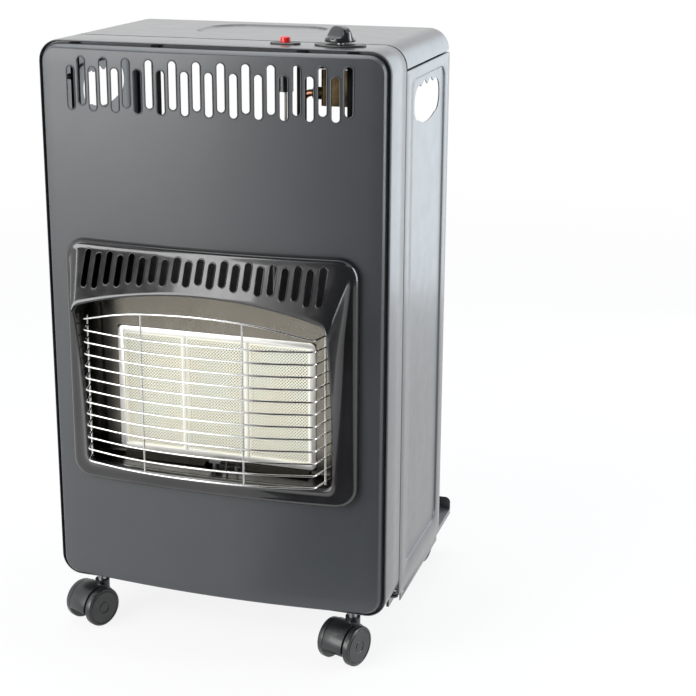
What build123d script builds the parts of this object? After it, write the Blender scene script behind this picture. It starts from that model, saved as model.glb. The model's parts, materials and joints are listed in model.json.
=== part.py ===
"""Portable gas cabinet heater: a folding steel cabinet on castors with a radiant burner in its front.

Frame: X to the right as seen from the front, Y from the front to the back, Z up. The floor is Z = 0,
X = 0 is the middle of the cabinet, and Y = 0 is the middle of the heater's depth with the cabinet open.
Depths are chained from groove_y, the plane where the front panel's edge meets the casing.
"""
from build123d import *
import math
import os

os.makedirs("parts", exist_ok=True)

# ---- driving dimensions, mm ------------------------------------------------------------------
sheet = 1.2                  # cabinet sheet steel
running_gap = 0.05           # radial clearance of every pin, shaft and spindle
seat_gap = 0.3               # clearance between neighbours that don't touch

casing_width = 420
casing_height = 664
casing_depth = 60            # groove plane to the casing's open back
corner_radius = 25
casing_lip = 10              # flange behind the front panel
rear_lip = 24                # flanges at the back, top and bottom
castor_height = 62           # floor to the casing's underside

panel_margin = 4             # groove between casing side and front panel
panel_edge_proud = 5         # front panel's edge in front of the groove plane
panel_bow = 16               # extra bow of the panel's middle
slot_count = 24
slot_pitch = 14.35
slot_width = 9.6
low_slot_z = (649.0, 698.5)
high_slot_z = (655.0, 709.5)

bezel_width = 358
bezel_z = (204.0, 500.0)
bezel_radius = 24
bezel_proud = 12
bezel_sheet = 1.5
window_width = 304
window_bottom_z = 229
window_side_top_z = 428      # the arch springs from here
window_arch_top_z = 450
window_radius = 10
hood_top_z = 496
hood_lip_proud = 42          # hood's lower edge in front of the front panel, at its springing
hood_slot_count = 21
hood_slot_pitch = 14.25
hood_slot_width = 8.0
hood_slot_top_z = 491.5
hood_slot_margin = 12        # hood left under each slot, above the arch

plaque_width = 76
plaque_height = 141
plaque_thickness = 12
plaque_pitch = 78.5
plaque_front = 3             # behind the groove plane
plaque_bottom_z = 245
frame_border = 7             # plaque frame beyond the plaques
plenum_depth = 20
mixer_radius = 9
manifold_radius = 6
manifold_z = 150
jet_gap = 6                  # open gap between jet and mixer mouth

guard_wire = 1.6             # wire radius
guard_wires = 12             # level wires under the arched top wire
guard_low_z = 240
guard_high_z = 401
guard_arch_end_z = 414
guard_arch_rise = 20
guard_end_x = 146
guard_end_forward = 32       # end uprights in front of the groove plane
guard_bend_x = 140
guard_bend_forward = 54
guard_middle_forward = 73
guard_upright_x = 61
guard_leg_back = 12          # legs run back from the end uprights

cover_length = 203
cover_skirt = 26
cover_seam = 3               # gap between casing and cover
cover_pivot_back = 6         # cover pivot behind the casing
cover_pivot_drop = 5         # cover pivot below the casing's top
cover_pin_inset = 34         # cover's pins inside the casing's side
cover_emboss = (150, 110, 0.5)

panel_bottom_gap = 1.5       # side panel above the casing's underside level
panel_top_gap = 2.5          # side panel under the cover's skirt
panel_hem = 1.2              # folded edge of the side panel
panel_flange = 12
panel_pivot_in = 7           # pivot inside the side panel's outer face
panel_pivot_back = 6         # pivot behind the casing
field_recess = 2
field_margin = (27.0, 23.0, 28.0, 24.0)   # front, rear, bottom, top
hand_hole = (118.0, 40.0, 26.0)            # width, height of its straight part, depth of its arc
hand_hole_below_top = 44
knuckle_radius = 5
pin_radius = 2

base_length = 290            # from the casing's back
base_side_gap = 4.7          # base tray inside the casing's side
base_thickness = 1.2
base_flange = 15             # side flanges, beside the bottle
base_rear_flange = 8         # side flanges and rear lip, over the rear castors
base_lip = 16
base_front_gap = 26          # base plate starts behind the casing
base_top_drop = 2            # base plate's top under the casing's underside level
base_pivot_back = 38
base_pivot_z = 52
arm_inset = 9.3              # base's hinge arms inside the tray's side
arm_thickness = 3

knob_inset = 69              # knob axis inside the casing's side
knob_y_back = 35             # knob axis behind the groove plane
knob_radius = 19
knob_height = 17
knob_plate = (59.0, 27.0, 2.0)
knob_travel = 2.7
spindle_radius = 4
button_to_knob = 64
button_y_back = 36
button_radius = 5.6
button_height = 6
button_travel = 4
ring_size = (35.0, 13.0, 2.0)

castor_inset = 45            # stem axis inside the casing's side
front_castor_back = 18       # stem axis behind the groove plane
rear_castor_inset = 30       # stem axis in front of the base's rear edge
wheel_radius = 24.5
wheel_width = 9
hood_width = 27
wheel_gap = 0.5
trail = 17                   # wheel axle from the stem axis
stem_radius = 5.5
stem_depth = 16              # stem inside the cabinet
axle_radius = 3
hood_shell = 1.2             # hood beyond the wheels

# ---- places worked out from them -------------------------------------------------------------
guard_reach = guard_middle_forward + guard_wire
depth_behind_groove = casing_depth + base_length
groove_y = -(depth_behind_groove - guard_reach) / 2
back_y = groove_y + casing_depth
bottom_z = castor_height
top_z = bottom_z + casing_height
middle_z = (bottom_z + top_z) / 2
half_width = casing_width / 2
panel_depth = cover_seam + cover_length - sheet     # side panels end flush with the cover
base_half_width = half_width - base_side_gap
arm_x = base_half_width - arm_inset
castor_x = half_width - castor_inset
cover_pin_x = half_width - cover_pin_inset
knob_x = half_width - knob_inset
button_x = knob_x - button_to_knob
panel_half_width = half_width - panel_margin
cover_rear_y = back_y + cover_seam + cover_length
base_rear_y = back_y + base_length
plaque_y = groove_y + plaque_front
burner_half_width = plaque_pitch + plaque_width / 2
plaque_top_z = plaque_bottom_z + plaque_height
plenum_back_y = plaque_y + plaque_thickness + plenum_depth
window_side_x = window_width / 2
bow_radius = (panel_half_width ** 2 + panel_bow ** 2) / (2 * panel_bow)
bow_centre_y = groove_y - panel_edge_proud - panel_bow + bow_radius


def upright(y):
    """The plane at depth y that faces the front, with local X and Y along the heater's X and Z."""
    return Plane.XZ.offset(-y)


def sideways(x):
    """The plane at x that faces right, with local X and Y along the heater's Y and Z."""
    return Plane.YZ.offset(x)


def bow_at(x, proud=0.0):
    """Depth of the front panel's outer surface at x, or of the surface that lies proud of it."""
    return bow_centre_y - math.sqrt((bow_radius + proud) ** 2 - x ** 2)


def bowed_block(half, low_z, high_z, radius, proud, back):
    """A block with a bowed front, proud of the front panel, flat back and rounded outline."""
    over = 5                 # the rough block is larger than the outline that trims it
    with BuildPart() as block:
        with BuildSketch(Plane.XY.offset(low_z - over)):
            with BuildLine():
                wide = half + over
                edge = bow_at(wide, proud)
                ThreePointArc((-wide, edge), (0, bow_at(0, proud)), (wide, edge))
                Polyline((wide, edge), (wide, back + over), (-wide, back + over), (-wide, edge))
            make_face()
        extrude(amount=high_z - low_z + 2 * over)
        with BuildSketch(upright(back)):
            with Locations((0, (low_z + high_z) / 2)):
                RectangleRounded(2 * half, high_z - low_z, radius)
        extrude(amount=back - bow_at(0, proud) + over, mode=Mode.INTERSECT)
    return block.part


def hood_block(half, high_z, low_z, high_proud, low_proud, back_proud):
    """The hood's wedge: bowed like the panel, and further forward the lower it gets."""
    with BuildPart() as block:
        for z, proud in ((high_z, high_proud), (low_z, low_proud)):
            with BuildSketch(Plane.XY.offset(z)):
                with BuildLine():
                    edge = bow_at(half, proud)
                    back = bow_at(half, back_proud)
                    ThreePointArc((-half, edge), (0, bow_at(0, proud)), (half, edge))
                    Line((half, edge), (half, back))
                    ThreePointArc((half, back), (0, bow_at(0, back_proud)), (-half, back))
                    Line((-half, back), (-half, edge))
                make_face()
        loft(ruled=True)
    return block.part


def bent_pipe(points, radius, bends):
    """A pipe of the given radius along straight runs joined by arcs."""
    with BuildPart() as pipe:
        with BuildLine():
            FilletPolyline(*points, radius=bends)
        with BuildSketch(Plane(origin=points[0], z_dir=Vector(*points[1]) - Vector(*points[0]))):
            Circle(radius)
        sweep()
    return pipe.part


def slot_places(count, pitch):
    """The x of each slot in a centred row."""
    return [(i - (count - 1) / 2) * pitch for i in range(count)]


# ---- front casing ----------------------------------------------------------------------------
with BuildPart() as front_casing:
    with BuildSketch(upright(back_y)):
        with Locations((0, middle_z)):
            RectangleRounded(casing_width, casing_height, corner_radius)
            RectangleRounded(casing_width - 2 * sheet, casing_height - 2 * sheet,
                             corner_radius - sheet, mode=Mode.SUBTRACT)
    extrude(amount=casing_depth)
    with BuildSketch(upright(groove_y + sheet)):
        with Locations((0, middle_z)):
            RectangleRounded(casing_width, casing_height, corner_radius)
            RectangleRounded(casing_width - 2 * casing_lip, casing_height - 2 * casing_lip,
                             corner_radius - casing_lip, mode=Mode.SUBTRACT)
    extrude(amount=sheet)
    with BuildSketch(upright(back_y)):
        with Locations((0, middle_z)):
            RectangleRounded(casing_width, casing_height, corner_radius)
            Rectangle(casing_width, casing_height - 2 * rear_lip, mode=Mode.SUBTRACT)
    extrude(amount=sheet)
    with BuildSketch(Plane.XY.offset(top_z - sheet)):
        with Locations((knob_x, groove_y + knob_y_back)):
            Circle(spindle_radius + 2)
        with Locations((button_x, groove_y + button_y_back)):
            Circle(button_radius + 2)
    extrude(amount=sheet, mode=Mode.SUBTRACT)
    with BuildSketch(Plane.XY.offset(bottom_z)):
        with Locations((-castor_x, groove_y + front_castor_back),
                       (castor_x, groove_y + front_castor_back)):
            Circle(stem_radius + 2)
    extrude(amount=sheet, mode=Mode.SUBTRACT)

# ---- front panel -----------------------------------------------------------------------------
panel_low_z = bottom_z + panel_margin
panel_high_z = top_z - panel_margin
panel_radius = corner_radius - panel_margin
panel_outside = bowed_block(panel_half_width, panel_low_z, panel_high_z, panel_radius, 0, groove_y)
panel_inside = bowed_block(panel_half_width - sheet, panel_low_z + sheet, panel_high_z - sheet,
                           panel_radius - sheet, -sheet, groove_y)
bezel_mid_z = sum(bezel_z) / 2
bezel_overlap = 12           # front panel left behind the bezel's edge
through = panel_edge_proud + panel_bow + sheet

with BuildPart() as front_panel:
    add(panel_outside)
    add(panel_inside, mode=Mode.SUBTRACT)
    with BuildSketch(upright(groove_y)):
        for i, x in enumerate(slot_places(slot_count, slot_pitch)):
            low, high = high_slot_z if i % 2 else low_slot_z
            with Locations((x, (low + high) / 2)):
                SlotOverall(high - low, slot_width, rotation=90)
        with Locations((0, bezel_mid_z)):
            RectangleRounded(bezel_width - 2 * bezel_overlap,
                             bezel_z[1] - bezel_z[0] - 2 * bezel_overlap,
                             bezel_radius - bezel_overlap)
    extrude(amount=through, mode=Mode.SUBTRACT)

brace_width = 11
brace_columns = (0, 7, 19, 23)          # the slots that a brace stands behind

with BuildPart() as slot_braces:
    brace_low_z = low_slot_z[0] - 12
    for column in brace_columns:
        x = slot_places(slot_count, slot_pitch)[column]
        with BuildSketch(upright(groove_y + 2 * sheet)):
            with Locations((x, (brace_low_z + top_z - 2 * sheet) / 2)):
                Rectangle(brace_width, top_z - 2 * sheet - brace_low_z)
        extrude(amount=sheet)

# ---- burner bezel with its slotted hood ------------------------------------------------------
bezel_half = bezel_width / 2
hood_half = window_side_x + 6
hood_low_z = window_side_top_z - 2
slab_back = groove_y
slab_out = bowed_block(bezel_half, bezel_z[0], bezel_z[1], bezel_radius, bezel_proud, slab_back)
slab_in = bowed_block(bezel_half - bezel_sheet, bezel_z[0] + bezel_sheet, bezel_z[1] - bezel_sheet,
                      bezel_radius - bezel_sheet, bezel_proud - bezel_sheet, slab_back)
bezel_gap = 0.1              # between the bezel's rim and the front panel's bow
panel_room = bowed_block(bezel_half + 1, bezel_z[0] - 1, bezel_z[1] + 1, bezel_radius + 1,
                         bezel_gap, slab_back)
hood_out = hood_block(hood_half, hood_top_z, hood_low_z, bezel_proud, hood_lip_proud, 1)
hood_in = hood_block(hood_half - bezel_sheet, hood_top_z - bezel_sheet, hood_low_z,
                     bezel_proud - bezel_sheet, hood_lip_proud - bezel_sheet, 1)


def window_sketch(inset, plane):
    """The burner window: a rounded sill and an arched top, drawn inset from its edge."""
    side = window_side_x - inset
    sill = window_bottom_z + inset
    spring = window_side_top_z - inset
    arch = window_arch_top_z - inset
    r = window_radius - inset
    with BuildSketch(plane) as window:
        with BuildLine():
            Line((-side, spring), (-side, sill + r))
            RadiusArc((-side, sill + r), (-side + r, sill), -r)
            Line((-side + r, sill), (side - r, sill))
            RadiusArc((side - r, sill), (side, sill + r), -r)
            Line((side, sill + r), (side, spring))
            ThreePointArc((side, spring), (0, arch), (-side, spring))
        make_face()
    return window.sketch


arch_radius = (window_side_x ** 2 + (window_arch_top_z - window_side_top_z) ** 2) / (
    2 * (window_arch_top_z - window_side_top_z))


def arch_z(x):
    """Height of the window's arch at x."""
    return window_arch_top_z - arch_radius + math.sqrt(arch_radius ** 2 - x ** 2)


reach = hood_lip_proud + panel_edge_proud + panel_bow + 5
window_face = window_sketch(0, upright(groove_y))

with BuildPart() as burner_bezel:
    add(slab_out)
    add(hood_out)
    add(slab_in, mode=Mode.SUBTRACT)
    add(hood_in, mode=Mode.SUBTRACT)
    add(panel_room, mode=Mode.SUBTRACT)
    extrude(window_face, amount=reach, mode=Mode.SUBTRACT)
    with BuildSketch(upright(groove_y)):
        for i, x in enumerate(slot_places(hood_slot_count, hood_slot_pitch)):
            high = hood_slot_top_z - 3 * (1 - i % 2)
            low = arch_z(x) + hood_slot_margin
            with Locations((x, (low + high) / 2)):
                SlotOverall(high - low, hood_slot_width, rotation=90)
    extrude(amount=reach, mode=Mode.SUBTRACT)

# ---- reflector walls round the burner --------------------------------------------------------
reflector_proud = bezel_proud - bezel_sheet - seat_gap
reflector_depth = plaque_y - bow_at(0, reflector_proud)
reflector_room = bowed_block(window_side_x, window_bottom_z, window_arch_top_z, 1, reflector_proud,
                             plaque_y)
wall_outer = window_sketch(seat_gap, upright(plaque_y))
wall_inner = window_sketch(seat_gap + sheet, upright(plaque_y))
pilot_x = 14
pilot_y = plaque_y - 10
pilot_opening = (52, 14)     # in the burner's floor, for the pilot

with BuildPart() as reflector_box:
    extrude(wall_outer, amount=reflector_depth)
    extrude(wall_inner, amount=reflector_depth, mode=Mode.SUBTRACT)
    add(reflector_room, mode=Mode.INTERSECT)
    with BuildSketch(Plane.XY.offset(window_bottom_z)):
        with Locations((pilot_x, pilot_y)):
            Rectangle(*pilot_opening)
    extrude(amount=window_radius, mode=Mode.SUBTRACT)

frame_outer_z = (plaque_bottom_z - frame_border, plaque_top_z + frame_border)
frame_mid_z = sum(frame_outer_z) / 2
frame_width = 2 * (burner_half_width + frame_border)

with BuildPart() as reflector_back:
    extrude(wall_outer, amount=-sheet)
    with BuildSketch(upright(plaque_y + sheet)):
        with Locations((0, frame_mid_z)):
            Rectangle(frame_width + 2 * seat_gap, frame_outer_z[1] - frame_outer_z[0] + 2 * seat_gap)
    extrude(amount=sheet, mode=Mode.SUBTRACT)

with BuildPart() as lower_strip:
    strip_rise = 5
    strip_reach = 12
    with BuildSketch(sideways(-burner_half_width)):
        with BuildLine():
            strip_z = frame_outer_z[0] - seat_gap
            Polyline((plaque_y, strip_z), (plaque_y - strip_reach, strip_z - strip_rise),
                     (plaque_y - strip_reach, strip_z - strip_rise - sheet),
                     (plaque_y, strip_z - sheet), close=True)
        make_face()
    extrude(amount=2 * burner_half_width)
    with BuildSketch(Plane.XY.offset(window_bottom_z - window_radius)):
        with Locations((pilot_x, pilot_y - 2)):
            Rectangle(pilot_opening[0], pilot_opening[1])
    extrude(amount=3 * window_radius, mode=Mode.SUBTRACT)

# ---- plaques, their frame, plenum and mixer tubes --------------------------------------------
plaques = {}
plaque_names = ("plaque_left", "plaque_centre", "plaque_right")
plaque_places = [(i - 1) * plaque_pitch for i in range(3)]
plaque_mid_z = (plaque_bottom_z + plaque_top_z) / 2
rib_pitch = 11.5             # cast ribs across each plaque
rib_depth = 0.8
rib_cut = 2.2
for name, x in zip(plaque_names, plaque_places):
    with BuildPart() as plaque:
        with BuildSketch(upright(plaque_y + plaque_thickness)):
            with Locations((x, plaque_mid_z)):
                Rectangle(plaque_width, plaque_height)
        extrude(amount=plaque_thickness)
        with BuildSketch(upright(plaque_y + rib_depth)):
            with Locations((x, plaque_mid_z)):
                with GridLocations(rib_pitch, rib_pitch, 1, int(plaque_height // rib_pitch)):
                    Rectangle(plaque_width - 6, rib_cut)
        extrude(amount=rib_depth, mode=Mode.SUBTRACT)
    plaques[name] = plaque

with BuildPart() as plaque_frame:
    with BuildSketch(upright(plaque_y + plaque_thickness)):
        with Locations((0, frame_mid_z)):
            Rectangle(frame_width, frame_outer_z[1] - frame_outer_z[0])
        with Locations(*[(x, plaque_mid_z) for x in plaque_places]):
            Rectangle(plaque_width + seat_gap, plaque_height + seat_gap, mode=Mode.SUBTRACT)
    extrude(amount=plaque_thickness + sheet)
    with BuildSketch(upright(plaque_y)):
        with Locations(*[(x, plaque_mid_z) for x in plaque_places]):
            Rectangle(plaque_width + seat_gap, plaque_height + seat_gap)
            Rectangle(plaque_width - 3, plaque_height - 3, mode=Mode.SUBTRACT)
    extrude(amount=sheet)

mixer_low_z = manifold_z + manifold_radius + 8 + jet_gap
mixer_y = plenum_back_y - plenum_depth / 2

with BuildPart() as burner_plenum:
    with BuildSketch(upright(plenum_back_y)):
        with Locations((0, frame_mid_z)):
            Rectangle(frame_width, frame_outer_z[1] - frame_outer_z[0])
    extrude(amount=plenum_depth)
    with BuildSketch(upright(plenum_back_y - sheet)):
        with Locations((0, frame_mid_z)):
            Rectangle(frame_width - 2 * sheet, frame_outer_z[1] - frame_outer_z[0] - 2 * sheet)
    extrude(amount=plenum_depth, mode=Mode.SUBTRACT)
    with BuildSketch(upright(plaque_y + plaque_thickness + sheet)):
        with Locations((0, frame_mid_z)):
            Rectangle(frame_width, frame_outer_z[1] - frame_outer_z[0])
        with Locations(*[(x, plaque_mid_z) for x in plaque_places]):
            Rectangle(plaque_width - 4, plaque_height - 4, mode=Mode.SUBTRACT)
    extrude(amount=sheet)
    with BuildSketch(Plane.XY.offset(frame_outer_z[0])):
        with Locations(*[(x, mixer_y) for x in plaque_places]):
            Circle(mixer_radius - sheet)
    extrude(amount=sheet, mode=Mode.SUBTRACT)

with BuildPart() as mixer_tubes:
    with BuildSketch(Plane.XY.offset(mixer_low_z)):
        with Locations(*[(x, mixer_y) for x in plaque_places]):
            Circle(mixer_radius)
            Circle(mixer_radius - sheet, mode=Mode.SUBTRACT)
    extrude(amount=frame_outer_z[0] - mixer_low_z)

# ---- gas manifold and jets -------------------------------------------------------------------
manifold_end = 16
manifold_half = plaque_pitch + manifold_end
pipe_radius = 4

with BuildPart() as gas_manifold:
    with BuildSketch(sideways(-manifold_half)):
        with Locations((mixer_y, manifold_z)):
            Circle(manifold_radius)
    extrude(amount=2 * manifold_half)

with BuildPart() as gas_jets:
    with BuildSketch(Plane.XY.offset(manifold_z)):
        with Locations(*[(x, mixer_y) for x in plaque_places]):
            RegularPolygon(4, 6)
    extrude(amount=manifold_radius + 8)
    add(gas_manifold.part, mode=Mode.SUBTRACT)

# ---- heat shield -----------------------------------------------------------------------------
shield_half_width = half_width - sheet - seat_gap
shield_top_z = bottom_z + 538
shield_y = back_y - sheet

with BuildPart() as heat_shield:
    with BuildSketch(upright(shield_y)):
        with Locations((0, middle_z)):
            RectangleRounded(2 * shield_half_width, casing_height - 2 * sheet - 2 * seat_gap,
                             corner_radius - sheet)
        with Locations((0, (shield_top_z + top_z) / 2)):
            Rectangle(casing_width, top_z - shield_top_z, mode=Mode.SUBTRACT)
    extrude(amount=sheet)
    vent_count = 9
    with BuildSketch(upright(shield_y)):
        with Locations((0, bottom_z + 45)):
            with GridLocations(32, 1, vent_count, 1):
                SlotOverall(40, 8, rotation=90)
    extrude(amount=sheet, mode=Mode.SUBTRACT)

clip_width = 10
with BuildPart() as burner_brackets:
    for x in (-plaque_pitch / 2, plaque_pitch / 2):
        with BuildSketch(sideways(x - clip_width / 2)):
            with Locations(((mixer_y + shield_y - sheet) / 2, manifold_z)):
                Rectangle(shield_y - sheet - mixer_y, 3)
            with Locations((mixer_y, manifold_z)):
                Circle(manifold_radius + sheet)
                Circle(manifold_radius, mode=Mode.SUBTRACT)
        extrude(amount=clip_width)
    bracket_gap = shield_y - sheet - plenum_back_y
    for x in (-burner_half_width + 12, burner_half_width - 12):
        for z in (plaque_bottom_z + 10, plaque_top_z - 10):
            with BuildSketch(upright(shield_y - sheet)):
                with Locations((x, z)):
                    Rectangle(16, 14)
            extrude(amount=bracket_gap)

# ---- pilot burner, thermocouple and spark electrode ------------------------------------------
pilot_plate_z = window_bottom_z - 5
pilot_leg_y = plaque_y + 8
pilot_width = 46

with BuildPart() as pilot_bracket:
    with BuildSketch(Plane.XY.offset(pilot_plate_z)):
        with Locations((pilot_x, (pilot_y - 6 + pilot_leg_y) / 2)):
            Rectangle(pilot_width, pilot_leg_y - pilot_y + 6)
    extrude(amount=sheet)
    with BuildSketch(upright(pilot_leg_y)):
        with Locations((pilot_x, (pilot_plate_z + frame_outer_z[0]) / 2)):
            Rectangle(pilot_width, frame_outer_z[0] - pilot_plate_z)
    extrude(amount=sheet)
pilot_seat_z = pilot_plate_z + sheet

with BuildPart() as pilot_burner:
    with BuildSketch(Plane.XY.offset(pilot_seat_z)):
        with Locations((pilot_x - 12, pilot_y)):
            Circle(4)
    extrude(amount=12)
    with BuildSketch(Plane.XY.offset(pilot_seat_z + 12)):
        with Locations((pilot_x - 12, pilot_y)):
            Rectangle(14, 8)
    extrude(amount=2.5)

with BuildPart() as thermocouple:
    with BuildSketch(Plane.XY.offset(pilot_seat_z)):
        with Locations((pilot_x + 2, pilot_y)):
            Circle(3)
    extrude(amount=8)
    with BuildSketch(Plane.XY.offset(pilot_seat_z + 8)):
        with Locations((pilot_x + 2, pilot_y)):
            Circle(1.6)
    extrude(amount=9)

electrode_x = pilot_x + 15
with BuildPart() as spark_electrode:
    with BuildSketch(Plane.XY.offset(pilot_seat_z)):
        with Locations((electrode_x, pilot_y)):
            Circle(3.2)
    extrude(amount=9)
    with BuildSketch(Plane.XY.offset(pilot_seat_z + 9)):
        with Locations((electrode_x, pilot_y)):
            Circle(0.9)
    extrude(amount=7)

# ---- wire guard ------------------------------------------------------------------------------
bend_y = groove_y - guard_bend_forward
end_y = groove_y - guard_end_forward
middle_y = groove_y - guard_middle_forward
leg_x = window_side_x - sheet - 2 * seat_gap - guard_wire
leg_y = end_y + guard_leg_back
guard_bend_radius = 8
guard_front_radius = 500


def guard_wire_at(z, rise):
    """One bent guard wire with its legs: a level wire, or the top one, which rises in the middle."""
    flat = guard_bend_x / 5
    front = []
    for step in (-5, -3, -1, 1, 3, 5):
        share = ((abs(step) - 1) * flat / (guard_bend_x - flat)) ** 2
        front.append(Vector(step * flat, middle_y + (bend_y - middle_y) * share,
                            z + rise * (1 - share)))
    points = [Vector(-leg_x, leg_y, z), *front, Vector(leg_x, leg_y, z)]
    bends = []
    for before, here, after in zip(points, points[1:], points[2:]):
        turn = (here - before).get_angle(after - here)
        run = min((here - before).length, (after - here).length)
        bends.append(min(0.45 * run / math.tan(math.radians(turn / 2)), guard_front_radius))
    bends[0] = bends[-1] = guard_bend_radius
    return bent_pipe(points, guard_wire, bends)


level_wire = guard_wire_at(0, 0)
arched_wire = guard_wire_at(guard_arch_end_z, guard_arch_rise)
wire_pitch = (guard_high_z - guard_low_z) / (guard_wires - 1)
upright_share = ((guard_upright_x - guard_bend_x / 5) / (guard_bend_x * 4 / 5)) ** 2
upright_y = middle_y + (bend_y - middle_y) * upright_share + 1.7 * guard_wire

with BuildPart() as wire_guard:
    with Locations(*[(0, 0, guard_low_z + i * wire_pitch) for i in range(guard_wires)]):
        add(level_wire)
    add(arched_wire)
    with BuildSketch(Plane.XY.offset(guard_low_z)):
        with Locations((-guard_upright_x, upright_y), (guard_upright_x, upright_y)):
            Circle(guard_wire)
    extrude(amount=guard_arch_end_z + guard_arch_rise * (1 - upright_share) - guard_low_z)
    with BuildSketch(Plane.XY.offset(guard_low_z - 3)):
        with Locations((-guard_end_x, end_y), (guard_end_x, end_y)):
            Circle(guard_wire)
    extrude(amount=guard_arch_end_z - guard_low_z + 3)

# ---- controls on the top strip ---------------------------------------------------------------
knob_y = groove_y + knob_y_back
button_y = groove_y + button_y_back
plate_top_z = top_z + knob_plate[2]
stem_hole = spindle_radius + running_gap
valve_top_z = top_z - 24
valve_height = 40

with BuildPart() as knob_plate_part:
    with BuildSketch(Plane.XY.offset(top_z)):
        with Locations((knob_x, knob_y)):
            Ellipse(knob_plate[0] / 2, knob_plate[1] / 2)
            Circle(stem_hole + 1, mode=Mode.SUBTRACT)
    extrude(amount=knob_plate[2])

knob_low_z = plate_top_z + knob_travel + seat_gap
sleeve_radius = spindle_radius - 1.5
with BuildPart() as push_spindle:
    with BuildSketch(Plane.XY.offset(valve_top_z - 12)):
        with Locations((knob_x, knob_y)):
            Circle(spindle_radius)
    extrude(amount=knob_low_z + 3 - valve_top_z + 12)
    with BuildSketch(Plane.XY.offset(knob_low_z + 3)):
        with Locations((knob_x, knob_y)):
            Circle(sleeve_radius)
    extrude(amount=knob_height - 9)

with BuildPart() as knob:
    knob_top_z = knob_low_z + knob_height
    with BuildSketch(Plane.XY.offset(knob_low_z)):
        with Locations((knob_x, knob_y)):
            Circle(knob_radius)
    extrude(amount=6, taper=8)
    with BuildSketch(Plane.XY.offset(knob_low_z + 5)):
        with Locations((knob_x, knob_y)):
            SlotOverall(2 * knob_radius - 3, 13, rotation=25)
    extrude(amount=knob_top_z - knob_low_z - 5, taper=6)
    with BuildSketch(Plane.XY.offset(knob_low_z)):
        with Locations((knob_x, knob_y)):
            Circle(spindle_radius + running_gap)
    extrude(amount=3, mode=Mode.SUBTRACT)
    with BuildSketch(Plane.XY.offset(knob_low_z)):
        with Locations((knob_x, knob_y)):
            Circle(sleeve_radius + running_gap)
    extrude(amount=knob_height - 6 + seat_gap, mode=Mode.SUBTRACT)

valve_width = 34
valve_low_z = valve_top_z - valve_height
with BuildPart() as gas_valve:
    with BuildSketch(Plane.XY.offset(valve_low_z)):
        with Locations((knob_x, knob_y - 4)):
            RectangleRounded(valve_width, 28, 4)
    extrude(amount=valve_height)
    with BuildSketch(Plane.XY.offset(valve_top_z - 16)):
        with Locations((knob_x, knob_y)):
            Circle(stem_hole)
    extrude(amount=16, mode=Mode.SUBTRACT)
    with BuildSketch(sideways(knob_x - valve_width / 2)):
        with Locations((knob_y - 4, valve_low_z + 12)):
            Circle(7)
    extrude(amount=-12)

with BuildPart() as valve_bracket:
    with BuildSketch(Plane.XY.offset(valve_top_z)):
        with Locations((knob_x, knob_y - 4)):
            Rectangle(valve_width + 20, 28)
        with Locations((knob_x, knob_y)):
            Circle(stem_hole + 2, mode=Mode.SUBTRACT)
    extrude(amount=sheet)
    with BuildSketch(Plane.XY.offset(valve_top_z)):
        for side in (-1, 1):
            with Locations((knob_x + side * (valve_width / 2 + 10 - sheet / 2), knob_y - 4)):
                Rectangle(sheet, 28)
    extrude(amount=top_z - sheet - valve_top_z)

with BuildPart() as return_spring:
    spring_low_z = valve_top_z + sheet
    with BuildSketch(Plane.XY.offset(spring_low_z)):
        with Locations((knob_x, knob_y)):
            Circle(spindle_radius + 2)
            Circle(spindle_radius + 0.5, mode=Mode.SUBTRACT)
    extrude(amount=12)

with BuildPart() as igniter_ring:
    with BuildSketch(Plane.XY.offset(top_z)):
        with Locations((button_x, button_y)):
            SlotOverall(ring_size[0], ring_size[1])
            Circle(button_radius + running_gap, mode=Mode.SUBTRACT)
    extrude(amount=ring_size[2])

button_low_z = top_z - 6
igniter_height = 42
with BuildPart() as igniter_body:
    with BuildSketch(Plane.XY.offset(button_low_z - button_travel - seat_gap - igniter_height)):
        with Locations((button_x, button_y)):
            Circle(9)
    extrude(amount=igniter_height)
    with BuildSketch(Plane.XY.offset(button_low_z - button_travel - seat_gap)):
        with Locations((button_x, button_y)):
            Circle(9)
            Circle(button_radius + 1.2, mode=Mode.SUBTRACT)
    extrude(amount=top_z - sheet - button_low_z + button_travel + seat_gap)

with BuildPart() as igniter_button:
    with BuildSketch(Plane.XY.offset(button_low_z)):
        with Locations((button_x, button_y)):
            Circle(button_radius)
    extrude(amount=top_z + ring_size[2] + button_height - button_low_z)
    fillet(igniter_button.edges().group_by(Axis.Z)[-1], 1.2)

# ---- gas pipes and ignition lead -------------------------------------------------------------
valve_port_x = knob_x - valve_width / 2 - 12
valve_port_z = valve_low_z + 12
pipe_x = burner_half_width + frame_border + 12
pipe_turn = 14
pipe_drop_x = valve_port_x - pipe_turn
pipe_drop_y = knob_y - 4
pipe_drop_z = valve_low_z - 62
pipe_side_z = pipe_drop_z - 100
burner_pipe_run = bent_pipe(
    [(valve_port_x, pipe_drop_y, valve_port_z), (pipe_drop_x, pipe_drop_y, valve_port_z),
     (pipe_drop_x, pipe_drop_y, pipe_drop_z), (pipe_x, mixer_y, pipe_side_z),
     (pipe_x, mixer_y, manifold_z),
     (manifold_half, mixer_y, manifold_z)], pipe_radius, 12)

with BuildPart() as burner_pipe:
    add(burner_pipe_run)

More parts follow.
